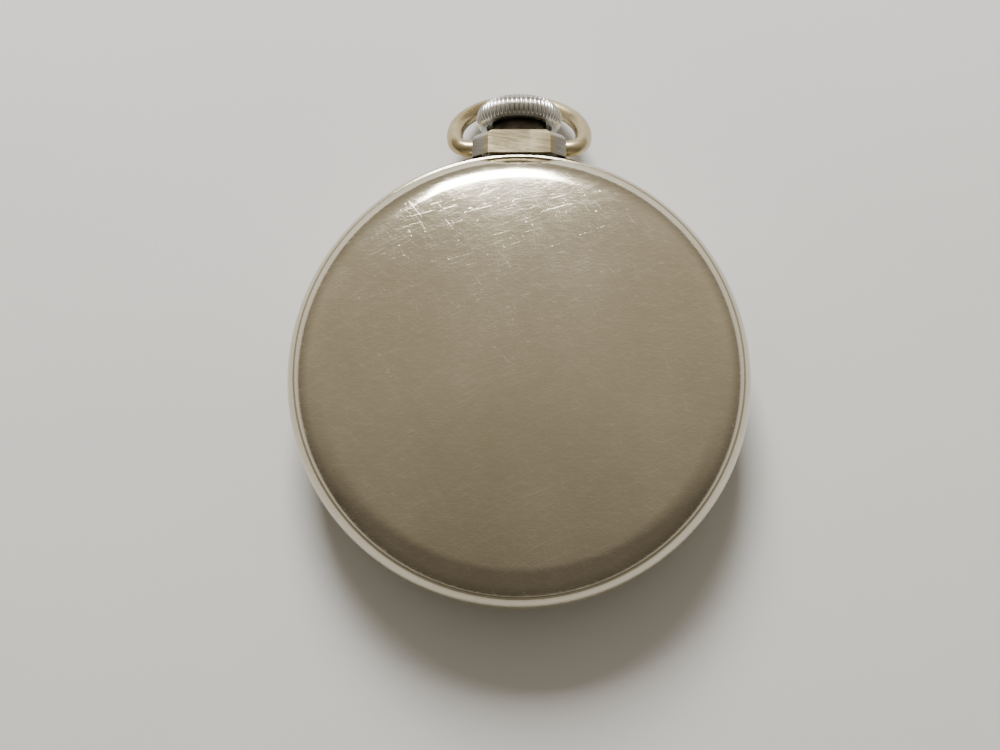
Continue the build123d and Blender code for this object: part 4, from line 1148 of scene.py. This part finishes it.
def ruby_paint(place):
    """Clear red with faint growth bands."""
    bands = spread(grain(place, 1800, (1, 1, 4), detail=2), 0.3, 0.7)
    return {
        "Base Color": shades(bands, (0.42, 0.008, 0.045), (0.62, 0.020, 0.090)),
        "Roughness": bands * 0.04 + 0.05,
    }


ruby = finish("ruby", {"IOR": 1.76, "Coat Weight": 0.5}, ruby_paint)
for node in ("plate_jewels", "train_jewels", "pallet_stones", "roller"):
    dress(node, ruby)

# ---- Screws of the movement ----
# Turned steel screws with flat heads, blued, each with its edge broken and a slot sawn across it.
# They are driven home as they came, so every slot points its own way.
screw_tree, screw_in, screw_ids = tree_of(
    "slotted_screws",
    {
        "Head radius": "NodeSocketFloat",
        "Head height": "NodeSocketFloat",
        "Top radius": "NodeSocketFloat",
        "Shank radius": "NodeSocketFloat",
        "Shank length": "NodeSocketFloat",
        "Slot": "NodeSocketVector",
        "Seed": "NodeSocketInt",
    },
)


def share_of(tree, value, factor):
    """A size of a Geometry Nodes tree times a number."""
    made = step_of(tree, "ShaderNodeMath", {"operation": "MULTIPLY"}, {0: value, 1: factor})
    return made.outputs[0]


def stood(tree, mesh, height):
    """A mesh of a Geometry Nodes tree, moved up by a height."""
    lifted = step_of(tree, "ShaderNodeCombineXYZ", {}, {"Z": height})
    moved = step_of(
        tree, "GeometryNodeTransform", {}, {"Geometry": mesh, "Translation": lifted.outputs[0]}
    )
    return moved.outputs[0]


head_h = screw_in.outputs["Head height"]
shank_h = screw_in.outputs["Shank length"]
screw_head = step_of(
    screw_tree,
    "GeometryNodeMeshCone",
    {},
    {
        "Vertices": 64,
        "Radius Top": screw_in.outputs["Top radius"],
        "Radius Bottom": screw_in.outputs["Head radius"],
        "Depth": head_h,
    },
)
shank = step_of(
    screw_tree,
    "GeometryNodeMeshCylinder",
    {},
    {"Vertices": 24, "Radius": screw_in.outputs["Shank radius"], "Depth": shank_h},
)
slot_box = step_of(screw_tree, "GeometryNodeMeshCube", {}, {"Size": screw_in.outputs["Slot"]})
head_cut = step_of(
    screw_tree,
    "GeometryNodeMeshBoolean",
    {"operation": "DIFFERENCE"},
    {"Mesh 1": screw_head.outputs[0], "Mesh 2": stood(screw_tree, slot_box.outputs[0], head_h)},
)
screw_whole = step_of(screw_tree, "GeometryNodeJoinGeometry")
shank_low = stood(screw_tree, shank.outputs[0], share_of(screw_tree, shank_h, -0.5))
screw_tree.links.new(shank_low, screw_whole.inputs[0])
screw_tree.links.new(head_cut.outputs[0], screw_whole.inputs[0])
screw_turn = step_of(
    screw_tree,
    "FunctionNodeRandomValue",
    {"data_type": "FLOAT_VECTOR"},
    {0: (0, 0, 0), 1: (0, 0, pi), "Seed": screw_in.outputs["Seed"]},
)
screw_copies = step_of(
    screw_tree,
    "GeometryNodeInstanceOnPoints",
    {},
    {
        "Points": screw_in.outputs["Geometry"],
        "Instance": screw_whole.outputs[0],
        "Rotation": screw_turn.outputs[0],
    },
)
ended(screw_tree, screw_copies.outputs[0], blued_steel)


def screws(name, places, seat_z, head, height, shank_r, shank_l, seed, body, replaced=()):
    """Slotted screws with their heads' undersides at seat_z, in millimetres."""
    sizes = {
        "Head radius": head * MM,
        "Head height": height * MM,
        "Top radius": (head - 0.06) * MM,
        "Shank radius": shank_r * MM,
        "Shank length": shank_l * MM,
        "Slot": (head * 2.4 * MM, head * 0.24 * MM, height * MM),
        "Seed": seed,
    }
    start = [(x * MM, y * MM, seat_z * MM) for x, y in places]
    grown(name, screw_tree, screw_ids, sizes, start, body, replaced)


def middle_of(node):
    """The middle of a CAD piece seen from above, in millimetres."""
    low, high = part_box(node)
    return ((low.x + high.x) / 2 / MM, (low.y + high.y) / 2 / MM)


bridge_places = [from_point((0, 0), 20.0, angle) for angle in (18, 74, 160, 238, 284, 340)]
case_places = [from_point((0, 0), 20.75, angle) for angle in (40, 140, 312)]
cock_place = from_point((0, 0), 20.0, 197.3)
pallet_place = from_point((-9.18, -7.36), 5.0, 218.7)
screw_rows = (
    # name, places, seat, head radius, head height, shank radius, shank length, seed, body, stands for
    ("bridge_screws", bridge_places, 10.0, 0.9, 0.35, 0.5, 4.3, 3, "case", ["bridge_screws"]),
    ("cock_screw", [cock_place], 10.5, 0.9, 0.35, 0.5, 4.8, 5, "case", []),
    ("pallet_screw", [pallet_place], 8.35, 0.9, 0.3, 0.5, 2.6, 6, "case", []),
    ("case_screws", case_places, 9.3, 1.0, 0.6, 0.5, 3.2, 8, "case", ["case_screws"]),
)
for row_name, *row in screw_rows:
    screws(row_name + "_slotted", *row)
single_screws = (
    # node, seat, head radius, head height, shank radius, shank length, seed, body
    ("crown_wheel_screw", 10.55, 2.0, 0.3, 1.5, 0.55, 4, "case"),
    ("ratchet_screw", 10.5, 1.6, 0.35, 0.4, 1.2, 9, "ratchet_body"),
    ("click_screw", 10.55, 0.95, 0.3, 0.5, 1.15, 2, "case"),
)
for node, *row in single_screws:
    screws(node + "_slotted", [middle_of(node)], *row, [node])
